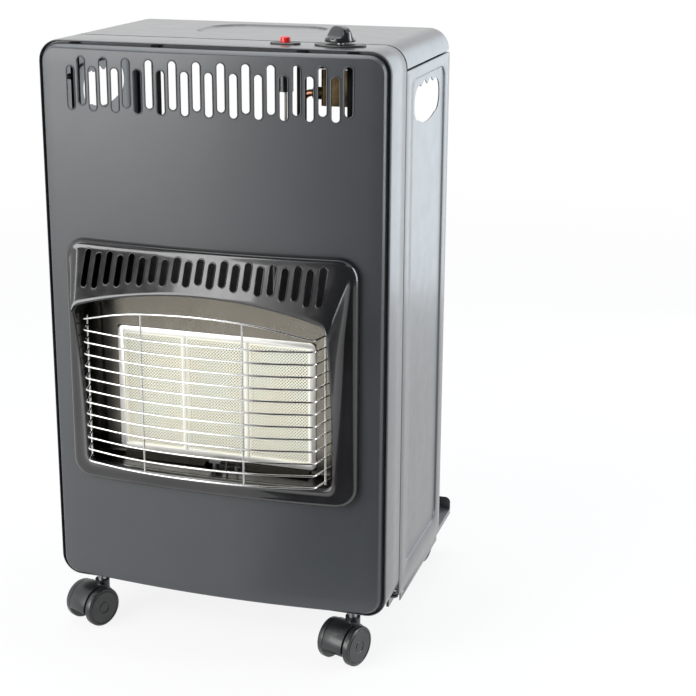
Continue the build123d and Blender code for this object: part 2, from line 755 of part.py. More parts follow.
nozzle_x = half_width - 24
nozzle_z = valve_low_z - 32
nozzle_radius = 5
nozzle_length = 20
nozzle_neck = 4.2            # through its bracket
nozzle_bore = 2.5
nozzle_nut = 4.8
nozzle_seat_y = pipe_drop_y + 12
nozzle_tip_y = nozzle_seat_y + sheet + nozzle_length
bracket_height = 24
inlet_port_z = valve_top_z - 20
inlet_run = bent_pipe(
    [(knob_x + valve_width / 2, pipe_drop_y, inlet_port_z), (nozzle_x, pipe_drop_y, inlet_port_z),
     (nozzle_x, pipe_drop_y, nozzle_z), (nozzle_x, nozzle_seat_y - nozzle_nut, nozzle_z)],
    pipe_radius, [9, 6])

with BuildPart() as inlet_pipe:
    add(inlet_run)

with BuildPart() as inlet_bracket:
    bracket_reach = half_width - sheet - nozzle_x + bracket_height / 2
    with BuildSketch(upright(nozzle_seat_y + sheet)):
        with Locations((half_width - sheet - bracket_reach / 2, nozzle_z)):
            Rectangle(bracket_reach, bracket_height)
        with Locations((nozzle_x, nozzle_z)):
            Circle(nozzle_neck + running_gap, mode=Mode.SUBTRACT)
    extrude(amount=sheet)
    with BuildSketch(sideways(half_width - sheet)):
        with Locations((nozzle_seat_y + 6, nozzle_z)):
            Rectangle(12, bracket_height)
    extrude(amount=-sheet)

with BuildPart() as inlet_nozzle:
    with BuildSketch(upright(nozzle_seat_y)):
        with Locations((nozzle_x, nozzle_z)):
            RegularPolygon(7.5, 6)
    extrude(amount=nozzle_nut)
    with BuildSketch(upright(nozzle_seat_y + sheet)):
        with Locations((nozzle_x, nozzle_z)):
            Circle(nozzle_neck)
    extrude(amount=sheet)
    with BuildSketch(upright(nozzle_tip_y)):
        with Locations((nozzle_x, nozzle_z)):
            Circle(nozzle_radius)
    extrude(amount=nozzle_length)
    with BuildSketch(upright(nozzle_tip_y)):
        with Locations((nozzle_x, nozzle_z)):
            Circle(nozzle_bore)
    extrude(amount=nozzle_length, mode=Mode.SUBTRACT)

lead_x = button_x - 17
lead_y = plenum_back_y + 6
lead_drop_z = pipe_drop_z
lead_high_z = lead_drop_z - 60
lead_low_z = manifold_z + 50
lead_under_z = lead_low_z - 10
lead_run = bent_pipe(
    [(button_x, button_y, button_low_z - button_travel - seat_gap - igniter_height),
     (button_x, button_y, lead_drop_z),
     (lead_x, lead_y, lead_high_z),
     (lead_x, lead_y, lead_low_z),
     (electrode_x, plenum_back_y - 10, lead_under_z),
     (electrode_x, pilot_y, lead_under_z),
     (electrode_x, pilot_y, pilot_plate_z)], 1.5, 9)

with BuildPart() as ignition_lead:
    add(lead_run)

# ---- lower bracket, panel brackets, hinge pins -----------------------------------------------
pivot_x = half_width - panel_pivot_in
pivot_y = back_y + panel_pivot_back
rail_top_z = bottom_z
rail_thickness = 2
base_pivot_y = back_y + base_pivot_back
arm_low_z = base_pivot_z - knuckle_radius
rail_low_z = rail_top_z - rail_thickness

with BuildPart() as lower_bracket:
    with BuildSketch(Plane.XY.offset(rail_low_z)):
        with Locations((0, back_y)):
            Rectangle(2 * (half_width - corner_radius), 24)
        with Locations((0, back_y + knuckle_radius + 1)):
            Rectangle(2 * pivot_x, 2 * knuckle_radius)
        with Locations((-pivot_x, pivot_y), (pivot_x, pivot_y)):
            Circle(knuckle_radius)
            Circle(pin_radius + running_gap, mode=Mode.SUBTRACT)
    extrude(amount=rail_thickness)
    for x in (-arm_x - arm_thickness / 2, arm_x - arm_thickness / 2):
        with BuildSketch(sideways(x)):
            with BuildLine():
                Polyline((back_y + 1, rail_low_z), (back_y + 1, arm_low_z),
                         (base_pivot_y, arm_low_z))
                ThreePointArc((base_pivot_y, arm_low_z),
                              (base_pivot_y + knuckle_radius, base_pivot_z),
                              (base_pivot_y, base_pivot_z + knuckle_radius))
                Polyline((base_pivot_y, base_pivot_z + knuckle_radius),
                         (base_pivot_y - 18, base_pivot_z + knuckle_radius),
                         (back_y + 12, rail_low_z), (back_y + 1, rail_low_z))
            make_face()
            with Locations((base_pivot_y, base_pivot_z)):
                Circle(pin_radius + running_gap, mode=Mode.SUBTRACT)
        extrude(amount=arm_thickness)

ear_thickness = 2
ear_gap = 1
panel_low = bottom_z + panel_bottom_gap
panel_high = top_z - cover_skirt - panel_top_gap
low_ear_z = panel_low + 0.5
tab_z = panel_high - 22
high_ear_z = tab_z - ear_gap - ear_thickness

with BuildPart() as upper_brackets:
    for side in (-1, 1):
        with BuildSketch(Plane.XY.offset(tab_z)):
            with Locations((side * pivot_x, pivot_y)):
                Circle(knuckle_radius)
            with Locations((side * pivot_x, (pivot_y + back_y - 14) / 2)):
                Rectangle(2 * knuckle_radius - 0.8, pivot_y - back_y + 14)
            with Locations((side * pivot_x, pivot_y)):
                Circle(pin_radius + running_gap, mode=Mode.SUBTRACT)
        extrude(amount=ear_thickness)
        with BuildSketch(Plane.XY.offset(tab_z - 12)):
            with Locations((side * (half_width - sheet - 1), back_y - 9)):
                Rectangle(2, 14)
        extrude(amount=12 + ear_thickness)

with BuildPart() as panel_pins:
    with BuildSketch(Plane.XY.offset(rail_low_z - 1)):
        with Locations((-pivot_x, pivot_y), (pivot_x, pivot_y)):
            Circle(pin_radius + 1.5)
    extrude(amount=1)
    with BuildSketch(Plane.XY.offset(rail_low_z)):
        with Locations((-pivot_x, pivot_y), (pivot_x, pivot_y)):
            Circle(pin_radius)
    extrude(amount=low_ear_z + ear_thickness + 1 - rail_low_z)
    with BuildSketch(Plane.XY.offset(high_ear_z - 1)):
        with Locations((-pivot_x, pivot_y), (pivot_x, pivot_y)):
            Circle(pin_radius)
    extrude(amount=tab_z + ear_thickness - high_ear_z + 1)
    with BuildSketch(Plane.XY.offset(tab_z + ear_thickness)):
        with Locations((-pivot_x, pivot_y), (pivot_x, pivot_y)):
            Circle(pin_radius + 1.5)
    extrude(amount=1)

base_pin_head = 1.2
with BuildPart() as base_pins:
    for side in (-1, 1):
        outer = side * (base_half_width - base_thickness)
        inner = side * (arm_x - arm_thickness / 2 - 2)
        with BuildSketch(sideways(inner)):
            with Locations((base_pivot_y, base_pivot_z)):
                Circle(pin_radius)
        extrude(amount=outer + side * base_thickness - inner)
        with BuildSketch(sideways(inner)):
            with Locations((base_pivot_y, base_pivot_z)):
                Circle(pin_radius + 1.5)
        extrude(amount=side * base_pin_head)

# ---- side panels -----------------------------------------------------------------------------
panel_front_y = back_y + sheet
panel_rear_y = panel_front_y + panel_depth
field_front_y = panel_front_y + field_margin[0]
field_rear_y = panel_rear_y - field_margin[1]
field_low_z = panel_low + field_margin[2]
field_high_z = panel_high - field_margin[3]
field_mid = ((field_front_y + field_rear_y) / 2, (field_low_z + field_high_z) / 2)
field_size = (field_rear_y - field_front_y, field_high_z - field_low_z)
field_radius = 18
hand_hole_z = panel_high - hand_hole_below_top
hand_hole_y = (panel_front_y + panel_rear_y) / 2
rear_flange_low_z = 300      # clears the base tray as it folds up
sheet_x = half_width - sheet


def side_panel(side):
    """One side panel, side +1 on the right, -1 on the left."""
    with BuildPart() as panel:
        with BuildSketch(sideways(side * sheet_x)):
            with Locations(((panel_front_y + panel_rear_y) / 2, (panel_low + panel_high) / 2)):
                Rectangle(panel_depth, panel_high - panel_low)
        extrude(amount=side * sheet)
        # folded hem along the rear and the bottom edge
        with BuildSketch(sideways(side * (sheet_x - panel_hem))):
            with Locations(((panel_front_y + panel_rear_y) / 2 + 4, panel_low + 4)):
                Rectangle(panel_depth - 8, 8)
            with Locations((panel_rear_y - 4, (panel_low + panel_high) / 2)):
                Rectangle(8, panel_high - panel_low)
        extrude(amount=side * panel_hem)
        # top and rear flange
        with BuildSketch(sideways(side * (half_width - panel_flange))):
            with Locations(((panel_front_y + 18 + panel_rear_y) / 2, panel_high - sheet / 2)):
                Rectangle(panel_depth - 18, sheet)
            with Locations((panel_rear_y - sheet / 2, (rear_flange_low_z + panel_high) / 2)):
                Rectangle(sheet, panel_high - rear_flange_low_z)
        extrude(amount=side * (panel_flange - sheet))
        # pressed field
        with BuildSketch(sideways(side * (sheet_x - field_recess))):
            with Locations(field_mid):
                RectangleRounded(field_size[0], field_size[1], field_radius)
        extrude(amount=side * (field_recess + sheet))
        with BuildSketch(sideways(side * half_width)):
            with Locations(field_mid):
                RectangleRounded(field_size[0] - 2 * sheet, field_size[1] - 2 * sheet,
                                 field_radius - sheet)
        extrude(amount=-side * field_recess, mode=Mode.SUBTRACT)
        # hand hole with finger scallops on its upper edge
        with BuildSketch(sideways(side * (sheet_x - field_recess))):
            with Locations((hand_hole_y, hand_hole_z)):
                RectangleRounded(hand_hole[0], hand_hole[1], hand_hole[1] / 2 - 1)
                Ellipse(hand_hole[0] / 2, hand_hole[2])
            with Locations((hand_hole_y, hand_hole_z + hand_hole[1] / 2 + 4)):
                with GridLocations(28, 1, 3, 1):
                    Ellipse(9, 7, mode=Mode.SUBTRACT)
        extrude(amount=side * (field_recess + sheet), mode=Mode.SUBTRACT)
        # pivot ears
        for z in (low_ear_z, high_ear_z):
            with BuildSketch(Plane.XY.offset(z)):
                with Locations((side * pivot_x, pivot_y)):
                    Circle(knuckle_radius)
                with Locations((side * (pivot_x + sheet_x) / 2, pivot_y)):
                    Rectangle(sheet_x - pivot_x, 2 * (pivot_y - panel_front_y))
                with Locations((side * pivot_x, pivot_y)):
                    Circle(pin_radius + running_gap, mode=Mode.SUBTRACT)
            extrude(amount=ear_thickness)
    return panel


side_panel_right = side_panel(1)
side_panel_left = side_panel(-1)

# ---- top cover -------------------------------------------------------------------------------
cover_front_y = back_y + cover_seam
cover_pivot_y = back_y + cover_pivot_back
cover_pivot_z = top_z - cover_pivot_drop
cover_low_z = top_z - cover_skirt
cover_ear_radius = 4.0
ear_x = cover_pin_x + 2.5

cover_rear_radius = 7


def cover_block(inset, length):
    """The cover's outline, inset from its outside, with rounded rear edges."""
    with BuildPart() as block:
        with BuildSketch(upright(cover_rear_y - inset)):
            with Locations((0, middle_z)):
                RectangleRounded(casing_width - 2 * inset, casing_height - 2 * inset,
                                 corner_radius - inset)
            with Locations((0, cover_low_z - casing_height / 2)):
                Rectangle(casing_width, casing_height, mode=Mode.SUBTRACT)
        extrude(amount=length)
        rear = block.faces().sort_by(Axis.Y)[-1]
        fillet(rear.edges().sort_by(Axis.Z)[1:], cover_rear_radius - inset)
    return block.part


cover_outside = cover_block(0, cover_length)
cover_inside = cover_block(sheet, cover_length)

with BuildPart() as top_cover:
    add(cover_outside)
    add(cover_inside, mode=Mode.SUBTRACT)
    with BuildSketch(Plane.XY.offset(top_z)):
        with Locations((0, (cover_front_y + cover_rear_y) / 2 + 10)):
            RectangleRounded(cover_emboss[0], cover_emboss[1], 40)
    extrude(amount=-cover_emboss[2], mode=Mode.SUBTRACT)
    for side in (-1, 1):
        with BuildSketch(sideways(side * ear_x)):
            with Locations((cover_pivot_y, cover_pivot_z)):
                Circle(cover_ear_radius)
            with Locations((cover_pivot_y + 4, (cover_pivot_z + top_z - sheet) / 2)):
                Rectangle(8, top_z - sheet - cover_pivot_z)
            with Locations((cover_pivot_y, cover_pivot_z)):
                Circle(pin_radius + running_gap, mode=Mode.SUBTRACT)
        extrude(amount=side * 2)

strut_low_z = top_z - rear_lip + 4
with BuildPart() as cover_brackets:
    for side in (-1, 1):
        with BuildSketch(sideways(side * cover_pin_x)):
            with BuildLine():
                Polyline((back_y, strut_low_z), (back_y, strut_low_z + 12),
                         (cover_pivot_y - 2.4, cover_pivot_z - 5),
                         (cover_pivot_y - 2.4, cover_pivot_z), (cover_pivot_y + 3.5, cover_pivot_z),
                         (cover_pivot_y + 3.5, strut_low_z), (back_y, strut_low_z))
            make_face()
            with Locations((cover_pivot_y, cover_pivot_z)):
                Circle(3.4)
                Circle(pin_radius + running_gap, mode=Mode.SUBTRACT)
        extrude(amount=side * 2)
        with BuildSketch(upright(back_y)):
            with Locations((side * (cover_pin_x - 5), strut_low_z + 6)):
                Rectangle(10, 12)
        extrude(amount=-sheet)

with BuildPart() as hinge_pins:
    add(panel_pins.part)
    for side in (-1, 1):
        with BuildSketch(sideways(side * (cover_pin_x - 1))):
            with Locations((cover_pivot_y, cover_pivot_z)):
                Circle(pin_radius)
        extrude(amount=side * 7)

# ---- base tray -------------------------------------------------------------------------------
base_top_z = bottom_z - base_top_drop
base_front_y = back_y + base_front_gap
base_mid_y = (base_front_y + base_rear_y) / 2
notch_rear_y = base_pivot_y + knuckle_radius + 2
rear_castor_y = base_rear_y - rear_castor_inset
castor_reach = trail + wheel_radius + hood_shell
flange_rear_y = rear_castor_y - castor_reach - 5    # the deep flanges end in front of the castors

with BuildPart() as base_tray:
    with BuildSketch(Plane.XY.offset(base_top_z - base_thickness)):
        with Locations((0, base_mid_y)):
            Rectangle(2 * base_half_width, base_rear_y - base_front_y)
        with Locations((-arm_x, (base_front_y + notch_rear_y) / 2),
                       (arm_x, (base_front_y + notch_rear_y) / 2)):
            Rectangle(arm_thickness + 2, notch_rear_y - base_front_y, mode=Mode.SUBTRACT)
        with Locations((-castor_x, rear_castor_y), (castor_x, rear_castor_y)):
            Circle(stem_radius + 2, mode=Mode.SUBTRACT)
    extrude(amount=base_thickness)
    for side in (-1, 1):
        with BuildSketch(sideways(side * base_half_width)):
            with Locations((base_mid_y, base_top_z - base_rear_flange / 2)):
                Rectangle(base_rear_y - base_front_y, base_rear_flange)
            with Locations(((base_front_y + flange_rear_y) / 2, base_top_z - base_flange / 2)):
                Rectangle(flange_rear_y - base_front_y, base_flange)
            with Locations((base_pivot_y, base_pivot_z)):
                Circle(pin_radius + running_gap, mode=Mode.SUBTRACT)
        extrude(amount=-side * base_thickness)
    with BuildSketch(upright(base_rear_y)):
        with Locations((0, base_top_z + base_lip / 2 - base_rear_flange / 2)):
            RectangleRounded(2 * base_half_width, base_lip + base_rear_flange, 7)
    extrude(amount=base_thickness)

# ---- castors ---------------------------------------------------------------------------------
castors = {}
castor_places = {            # x, y and the heading of the trail in degrees
    "front_left": (-castor_x, groove_y + front_castor_back, 245),
    "front_right": (castor_x, groove_y + front_castor_back, 250),
    "rear_left": (-castor_x, rear_castor_y, 262),
    "rear_right": (castor_x, rear_castor_y, 262),
}

hood_radius = wheel_radius + hood_shell
boss_radius = 9
boss_top_z = castor_height - 11
swivel_radius = stem_radius - 1.5
swivel_depth = 20
socket_radius = stem_radius + 2
socket_height = 18

with BuildPart() as castor_sockets:
    for name in ("front_left", "front_right"):
        x, y, _ = castor_places[name]
        with BuildSketch(Plane.XY.offset(bottom_z)):
            with Locations((x, y)):
                Circle(socket_radius)
                Circle(stem_radius + running_gap, mode=Mode.SUBTRACT)
        extrude(amount=socket_height)
        with BuildSketch(Plane.XY.offset(bottom_z + sheet)):
            with Locations((x, y)):
                Circle(socket_radius + 5)
                Circle(stem_radius + running_gap, mode=Mode.SUBTRACT)
        extrude(amount=2)

with BuildPart() as base_sockets:
    for name in ("rear_left", "rear_right"):
        x, y, _ = castor_places[name]
        with BuildSketch(Plane.XY.offset(base_top_z - base_thickness - 2)):
            with Locations((x, y)):
                Circle(socket_radius + 5)
                Circle(stem_radius + running_gap, mode=Mode.SUBTRACT)
        extrude(amount=2)
        with BuildSketch(Plane.XY.offset(base_top_z - base_thickness)):
            with Locations((x, y)):
                Circle(socket_radius)
                Circle(stem_radius + running_gap, mode=Mode.SUBTRACT)
        extrude(amount=socket_height)

for name, (x, y, heading) in castor_places.items():
    turn = Plane(origin=(x, y, 0), x_dir=(math.cos(math.radians(heading)),
                                           math.sin(math.radians(heading)), 0), z_dir=(0, 0, 1))
    lengthwise = Plane(origin=turn.from_local_coords(Vector(0, 0, 0)), x_dir=turn.x_dir,
                       z_dir=-turn.y_dir)
    with BuildPart() as hood:
        with BuildSketch(lengthwise.offset(-hood_width / 2)):
            with Locations((trail, wheel_radius)):
                Circle(hood_radius)
            with Locations((trail, 2 - hood_radius)):
                Rectangle(3 * hood_radius, 2 * hood_radius, mode=Mode.SUBTRACT)
            with Locations((trail + hood_radius, 0)):
                Rectangle(2 * hood_radius, 2 * wheel_radius - 6, mode=Mode.SUBTRACT)
            with Locations((trail, wheel_radius)):
                Circle(8)
        extrude(amount=hood_width)
        with BuildSketch(turn.offset(wheel_radius - 4)):
            Circle(boss_radius)
        extrude(amount=boss_top_z - wheel_radius + 4)
        with BuildSketch(turn.offset(boss_top_z - swivel_depth)):
            Circle(swivel_radius + running_gap)
        extrude(amount=swivel_depth, mode=Mode.SUBTRACT)
        with BuildSketch(lengthwise.offset(-hood_width / 2)):
            with Locations((trail, wheel_radius)):
                Circle(axle_radius + running_gap)
        extrude(amount=hood_width, mode=Mode.SUBTRACT)
    with BuildPart() as stem:
        with BuildSketch(turn.offset(boss_top_z)):
            Circle(stem_radius)
        extrude(amount=castor_height + stem_depth - boss_top_z)
        with BuildSketch(turn.offset(boss_top_z - swivel_depth)):
            Circle(swivel_radius)
        extrude(amount=swivel_depth)
    with BuildPart() as wheels:
        with BuildSketch(lengthwise.offset(-hood_width / 2 - wheel_gap - wheel_width / 2)):
            with Locations((trail, wheel_radius)):
                Circle(axle_radius)
        extrude(amount=hood_width + 2 * wheel_gap + wheel_width)
        for low in (-hood_width / 2 - wheel_gap - wheel_width, hood_width / 2 + wheel_gap):
            with BuildSketch(lengthwise.offset(low)):
                with Locations((trail, wheel_radius)):
                    Circle(wheel_radius)
            extrude(amount=wheel_width)
        for side in (-1, 1):
            face = side * (hood_width / 2 + wheel_gap + wheel_width)
            with BuildSketch(lengthwise.offset(face)):
                with Locations((trail, wheel_radius)):
                    Circle(wheel_radius - 4)
                    Circle(axle_radius + 3, mode=Mode.SUBTRACT)
            extrude(amount=-side * 1.5, mode=Mode.SUBTRACT)
    castors[f"castor_hood_{name}"] = hood
    castors[f"castor_stem_{name}"] = stem
    castors[f"castor_wheels_{name}"] = wheels

# ---- screws ----------------------------------------------------------------------------------
screw_radius = 2.5
screw_head = 1.6
with BuildPart() as shield_screws:
    for z in (bottom_z + 90, 330, 560):
        for side in (-1, 1):
            with BuildSketch(upright(shield_y)):
                with Locations((side * (half_width - 16), z)):
                    Circle(screw_radius)
            extrude(amount=-screw_head)

# ---- files -----------------------------------------------------------------------------------
pieces = {
    "front_casing": front_casing, "front_panel": front_panel, "burner_bezel": burner_bezel,
    "slot_braces": slot_braces,
    "reflector_box": reflector_box, "reflector_back": reflector_back, "lower_strip": lower_strip,
    **plaques, "plaque_frame": plaque_frame, "burner_plenum": burner_plenum,
    "mixer_tubes": mixer_tubes, "gas_manifold": gas_manifold, "gas_jets": gas_jets,
    "heat_shield": heat_shield, "burner_brackets": burner_brackets,
    "pilot_bracket": pilot_bracket, "pilot_burner": pilot_burner, "thermocouple": thermocouple,
    "spark_electrode": spark_electrode, "wire_guard": wire_guard, "knob_plate": knob_plate_part,
    "push_spindle": push_spindle, "knob": knob, "gas_valve": gas_valve,
    "valve_bracket": valve_bracket, "return_spring": return_spring, "igniter_ring": igniter_ring,
    "igniter_body": igniter_body, "igniter_button": igniter_button, "burner_pipe": burner_pipe,
    "inlet_pipe": inlet_pipe, "inlet_bracket": inlet_bracket, "inlet_nozzle": inlet_nozzle,
    "ignition_lead": ignition_lead, "lower_bracket": lower_bracket,
    "upper_brackets": upper_brackets, "hinge_pins": hinge_pins, "base_pins": base_pins,
    "side_panel_left": side_panel_left, "side_panel_right": side_panel_right,
    "top_cover": top_cover, "cover_brackets": cover_brackets,
    "base_tray": base_tray, "castor_sockets": castor_sockets, "base_sockets": base_sockets,
    **castors, "shield_screws": shield_screws,
}
for label, piece in pieces.items():
    piece.part.label = label
    export_step(piece.part, f"parts/{label}.step")
print(len(pieces), "pieces")
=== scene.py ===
"""Portable gas cabinet heater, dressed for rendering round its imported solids.

Everything is in metres in the frame of the solids: X to the right seen from the front, Y from the
front to the back, Z up from the floor. Sizes in the code are millimetres turned into metres by MM.
"""
import json
import math
from functools import partialmethod

import bmesh
import bpy
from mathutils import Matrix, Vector

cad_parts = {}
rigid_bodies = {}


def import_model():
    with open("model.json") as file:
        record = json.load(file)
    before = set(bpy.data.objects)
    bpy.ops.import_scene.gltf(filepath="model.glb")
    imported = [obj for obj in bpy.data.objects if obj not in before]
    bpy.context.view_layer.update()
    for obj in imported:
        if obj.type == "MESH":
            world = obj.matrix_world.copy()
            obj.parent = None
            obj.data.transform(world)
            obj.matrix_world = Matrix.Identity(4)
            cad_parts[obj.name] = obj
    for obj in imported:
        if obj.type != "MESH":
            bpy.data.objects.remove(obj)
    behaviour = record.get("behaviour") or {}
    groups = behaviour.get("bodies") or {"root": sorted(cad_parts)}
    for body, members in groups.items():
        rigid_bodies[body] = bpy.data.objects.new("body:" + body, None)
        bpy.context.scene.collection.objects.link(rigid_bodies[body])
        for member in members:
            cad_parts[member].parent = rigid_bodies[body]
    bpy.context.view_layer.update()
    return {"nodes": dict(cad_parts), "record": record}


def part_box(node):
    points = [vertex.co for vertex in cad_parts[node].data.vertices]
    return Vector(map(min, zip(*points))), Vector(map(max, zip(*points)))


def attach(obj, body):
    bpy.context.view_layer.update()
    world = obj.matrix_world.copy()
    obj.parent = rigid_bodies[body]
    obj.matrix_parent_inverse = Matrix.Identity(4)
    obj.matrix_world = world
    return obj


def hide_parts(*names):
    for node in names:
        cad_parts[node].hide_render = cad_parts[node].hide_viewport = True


bl_info = {
    "name": "Cabinet Heater",
    "version": (1, 0, 0),
    "blender": (4, 5, 0),
    "location": "3D View > Sidebar > Heater",
    "description": "Dresses the folding gas cabinet heater with paint, enamel, wires and plaques",
    "category": "Object",
}

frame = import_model()
MM = 0.001

# ---- places read from the solids, and sizes that several pieces share ---------------------------
CASING_LOW, CASING_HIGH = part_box("front_casing")
PANEL_LOW, PANEL_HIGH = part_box("front_panel")
COVER_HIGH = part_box("top_cover")[1]
PLAQUES = ("plaque_left", "plaque_centre", "plaque_right")
PLAQUE_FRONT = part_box("plaque_left")[0].y
GROOVE, BACK = CASING_LOW.y, CASING_HIGH.y
HALF_WIDTH = CASING_HIGH.x
CORNER = 25 * MM
SHEET = 1.2 * MM
SHARP = 35                      # degrees between faces of painted sheet that still show as an edge

PANEL_HALF = PANEL_HIGH.x
PANEL_EDGE_PROUD = 5 * MM
PANEL_BOW = 16 * MM
BOW_RADIUS = (PANEL_HALF ** 2 + PANEL_BOW ** 2) / (2 * PANEL_BOW)
BOW_CENTRE = GROOVE - PANEL_EDGE_PROUD - PANEL_BOW + BOW_RADIUS
# the panel's rolled edge, as (reach outwards, drop back) in shares of its radius
PANEL_ROLL = ((0.10, 0.02), (0.22, 0.09), (0.34, 0.22), (0.70, 0.84), (0.86, 1.16), (0.95, 1.42),
              (1.0, 1.70), (1.0, 1.90))
SLOTS_LOW, SLOTS_HIGH = 649 * MM, 698.5 * MM
SLOT_CUT_DEPTH, SLOT_SIDES = 90 * MM, 24

WINDOW_SIDE = 152 * MM
WINDOW_SILL = 229 * MM
WINDOW_SPRING = 428 * MM
WINDOW_ARCH = 450 * MM
WINDOW_RADIUS = 10 * MM
ARCH_RADIUS = (WINDOW_SIDE ** 2 + (WINDOW_ARCH - WINDOW_SPRING) ** 2) / (
    2 * (WINDOW_ARCH - WINDOW_SPRING))

BEZEL_HALF, BEZEL_LOW, BEZEL_HIGH = 179 * MM, 204 * MM, 500 * MM
BEZEL_PROUD = 12 * MM
BEZEL_ROLL = 8 * MM
LIP_PROUD = 41 * MM
SILL_PROUD = 17 * MM
RIM_COUNTS = (60, 36, 8)        # columns, rows and corner steps of loops round the window

GUARD_LOW, GUARD_HIGH, GUARD_CROWN = 240 * MM, 401 * MM, 414 * MM
GUARD_FLAT, GUARD_WING = 28 * MM, 112 * MM
GUARD_RISE = 20 * MM            # how far the arched top wire rises in the middle

CASTORS = {"front_left": 245, "front_right": 250, "rear_left": 262, "rear_right": 262}
# a wheel's half section, as (radius, distance from its inner side) in mm
WHEEL = ((0, 0), (20, 0), (23.4, 0.3), (24.5, 1.6), (24.5, 6.8), (23.9, 8.2), (22.6, 8.9),
         (21.4, 9.0), (20.8, 8.3), (20.2, 8.3), (19.6, 8.9), (14, 9.0), (8, 8.9), (7.2, 8.3),
         (6.6, 8.3), (6, 8.9), (0, 9.0))
KNOB_TURN = math.radians(-38)

CAMERA_PLACE = (0.648, -1.7407, 0.917)
CAMERA_TURN = (90 - 15.86, 0, 18.05)
CAMERA_LENS, CAMERA_SHIFT = 80.4, (0.0445, -0.060)
# name, place, target, width, height, radiance, tint
LAMPS = (
    ("softbox_front_left", (-1.75, -2.3, 1.5), (0, 0, 0.6), 2.2, 3.0, 5.7, (1.0, 1.0, 0.99)),
    ("softbox_right", (0.87, 1.2, 0.76), (0.2, 0.0, 0.6), 1.0, 1.5, 1.6, (0.78, 0.90, 1.0)),
    ("strip_right", (2.2, 0.3, 0.9), (0.2, 0.0, 0.45), 0.5, 1.9, 9.0, (0.93, 0.97, 1.0)),
    ("softbox_above", (-0.3, 0.6, 2.7), (0, 0, 0.7), 2.4, 2.0, 2.0, (0.92, 0.97, 1.0)),
)


def standing(start, end, low, high):
    """The corners of an upright card between two places on the floor."""
    return ((*start, low), (*end, low), (*end, high), (*start, high))


# black cards that only the heater's gloss sees, by their corners
CARDS = (
    ("dark_card", standing((-0.1, -1.7), (1.7, -1.2), 0.01, 2.0)),
    ("dark_mat", ((-0.05, -1.7, 0.004), (1.3, -1.5, 0.004), (0.7, -0.3, 0.004),
                  (0.0, -0.3, 0.004))),
    ("dark_side_card", standing((1.7, -1.2), (2.0, -0.35), 0.01, 2.0)),
    ("dark_wing", standing((-1.06, -1.95), (-1.73, -1.25), 1.1, 2.5)),
    ("dark_ceiling", ((-1.5, -2.4, 2.7), (1.5, -2.4, 2.7), (1.5, -0.6, 2.7), (-1.5, -0.6, 2.7))),
)


def bow(x, proud=0.0):
    """Depth of the front panel's surface at x, or of the surface that lies proud of it."""
    return BOW_CENTRE - math.sqrt((BOW_RADIUS + proud) ** 2 - x ** 2)


def eased(share):
    """A smooth step from 0 to 1."""
    share = min(max(share, 0.0), 1.0)
    return share * share * (3 - 2 * share)


def evenly(low, high, count):
    """count + 1 evenly spaced numbers from low to high."""
    return [low + (high - low) * i / count for i in range(count + 1)]


def around(count):
    """Angles evenly spaced round a full turn."""
    return [2 * math.pi * i / count for i in range(count)]


def quarter(count):
    """The angles of a quarter turn in count steps, without its two ends."""
    return [math.pi / 2 * i / count for i in range(1, count)]


# ---- sizes and colours that a user may change --------------------------------------------------
def length_setting(name, value, note):
    return bpy.props.FloatProperty(name=name, description=note, default=value, min=0.0,
                                   subtype="DISTANCE", unit="LENGTH", precision=4)


def count_setting(name, value, note):
    return bpy.props.IntProperty(name=name, description=note, default=value, min=2, max=40)


def colour_setting(name, value, note):
    return bpy.props.FloatVectorProperty(name=name, description=note, default=value, size=3,
                                         min=0.0, max=1.0, subtype="COLOR")


class HeaterSizes(bpy.types.PropertyGroup):
    """Sizes of the dressed pieces."""
    panel_edge: length_setting("Panel edge", 5 * MM, "Radius of the front panel's rolled edge")
    slot_width: length_setting("Slot width", 9.6 * MM, "Width of the slots at the top")
    slot_pitch: length_setting("Slot pitch", 14.35 * MM, "Spacing of the slots at the top")
    slot_count: count_setting("Slots", 24, "Number of slots at the top")
    hood_slot_width: length_setting("Hood slot width", 8 * MM, "Width of the slots in the hood")
    hood_slot_pitch: length_setting("Hood slot pitch", 14.25 * MM, "Spacing of the hood's slots")
    hood_slot_count: count_setting("Hood slots", 21, "Number of slots in the hood")
    guard_wire: length_setting("Guard wire", 1.15 * MM, "Radius of the guard's wires")
    guard_count: count_setting("Guard wires", 12, "Number of level wires in the guard")
    hole_pitch: length_setting("Plaque hole pitch", 3.9 * MM, "Spacing of the plaques' fine holes")
    hole_size: length_setting("Plaque hole", 2.1 * MM, "Width of the plaques' fine holes")
    field_depth: length_setting("Pressed field", 2 * MM, "Depth of the side panels' pressed field")
    emboss_depth: length_setting("Cover emboss", 1.7 * MM, "Depth of the cover's pressed shape")


class HeaterColours(bpy.types.PropertyGroup):
    """Colours of the finishes."""
    paint: colour_setting("Cabinet paint", (0.040, 0.044, 0.048), "Slate-grey cabinet paint")
    enamel: colour_setting("Enamel", (0.012, 0.012, 0.013), "Gloss black enamel of the bezel")
    ceramic: colour_setting("Ceramic", (0.96, 0.94, 0.84), "Cream of the burner plaques")
    button: colour_setting("Button", (0.72, 0.02, 0.02), "Red of the ignition button")
    plastic: colour_setting("Black plastic", (0.014, 0.015, 0.017), "Knob and castors")


class HeaterStage(bpy.types.PropertyGroup):
    """Sizes of the stage round the heater."""
    floor_size: length_setting("Floor", 60.0, "Side of the square floor")


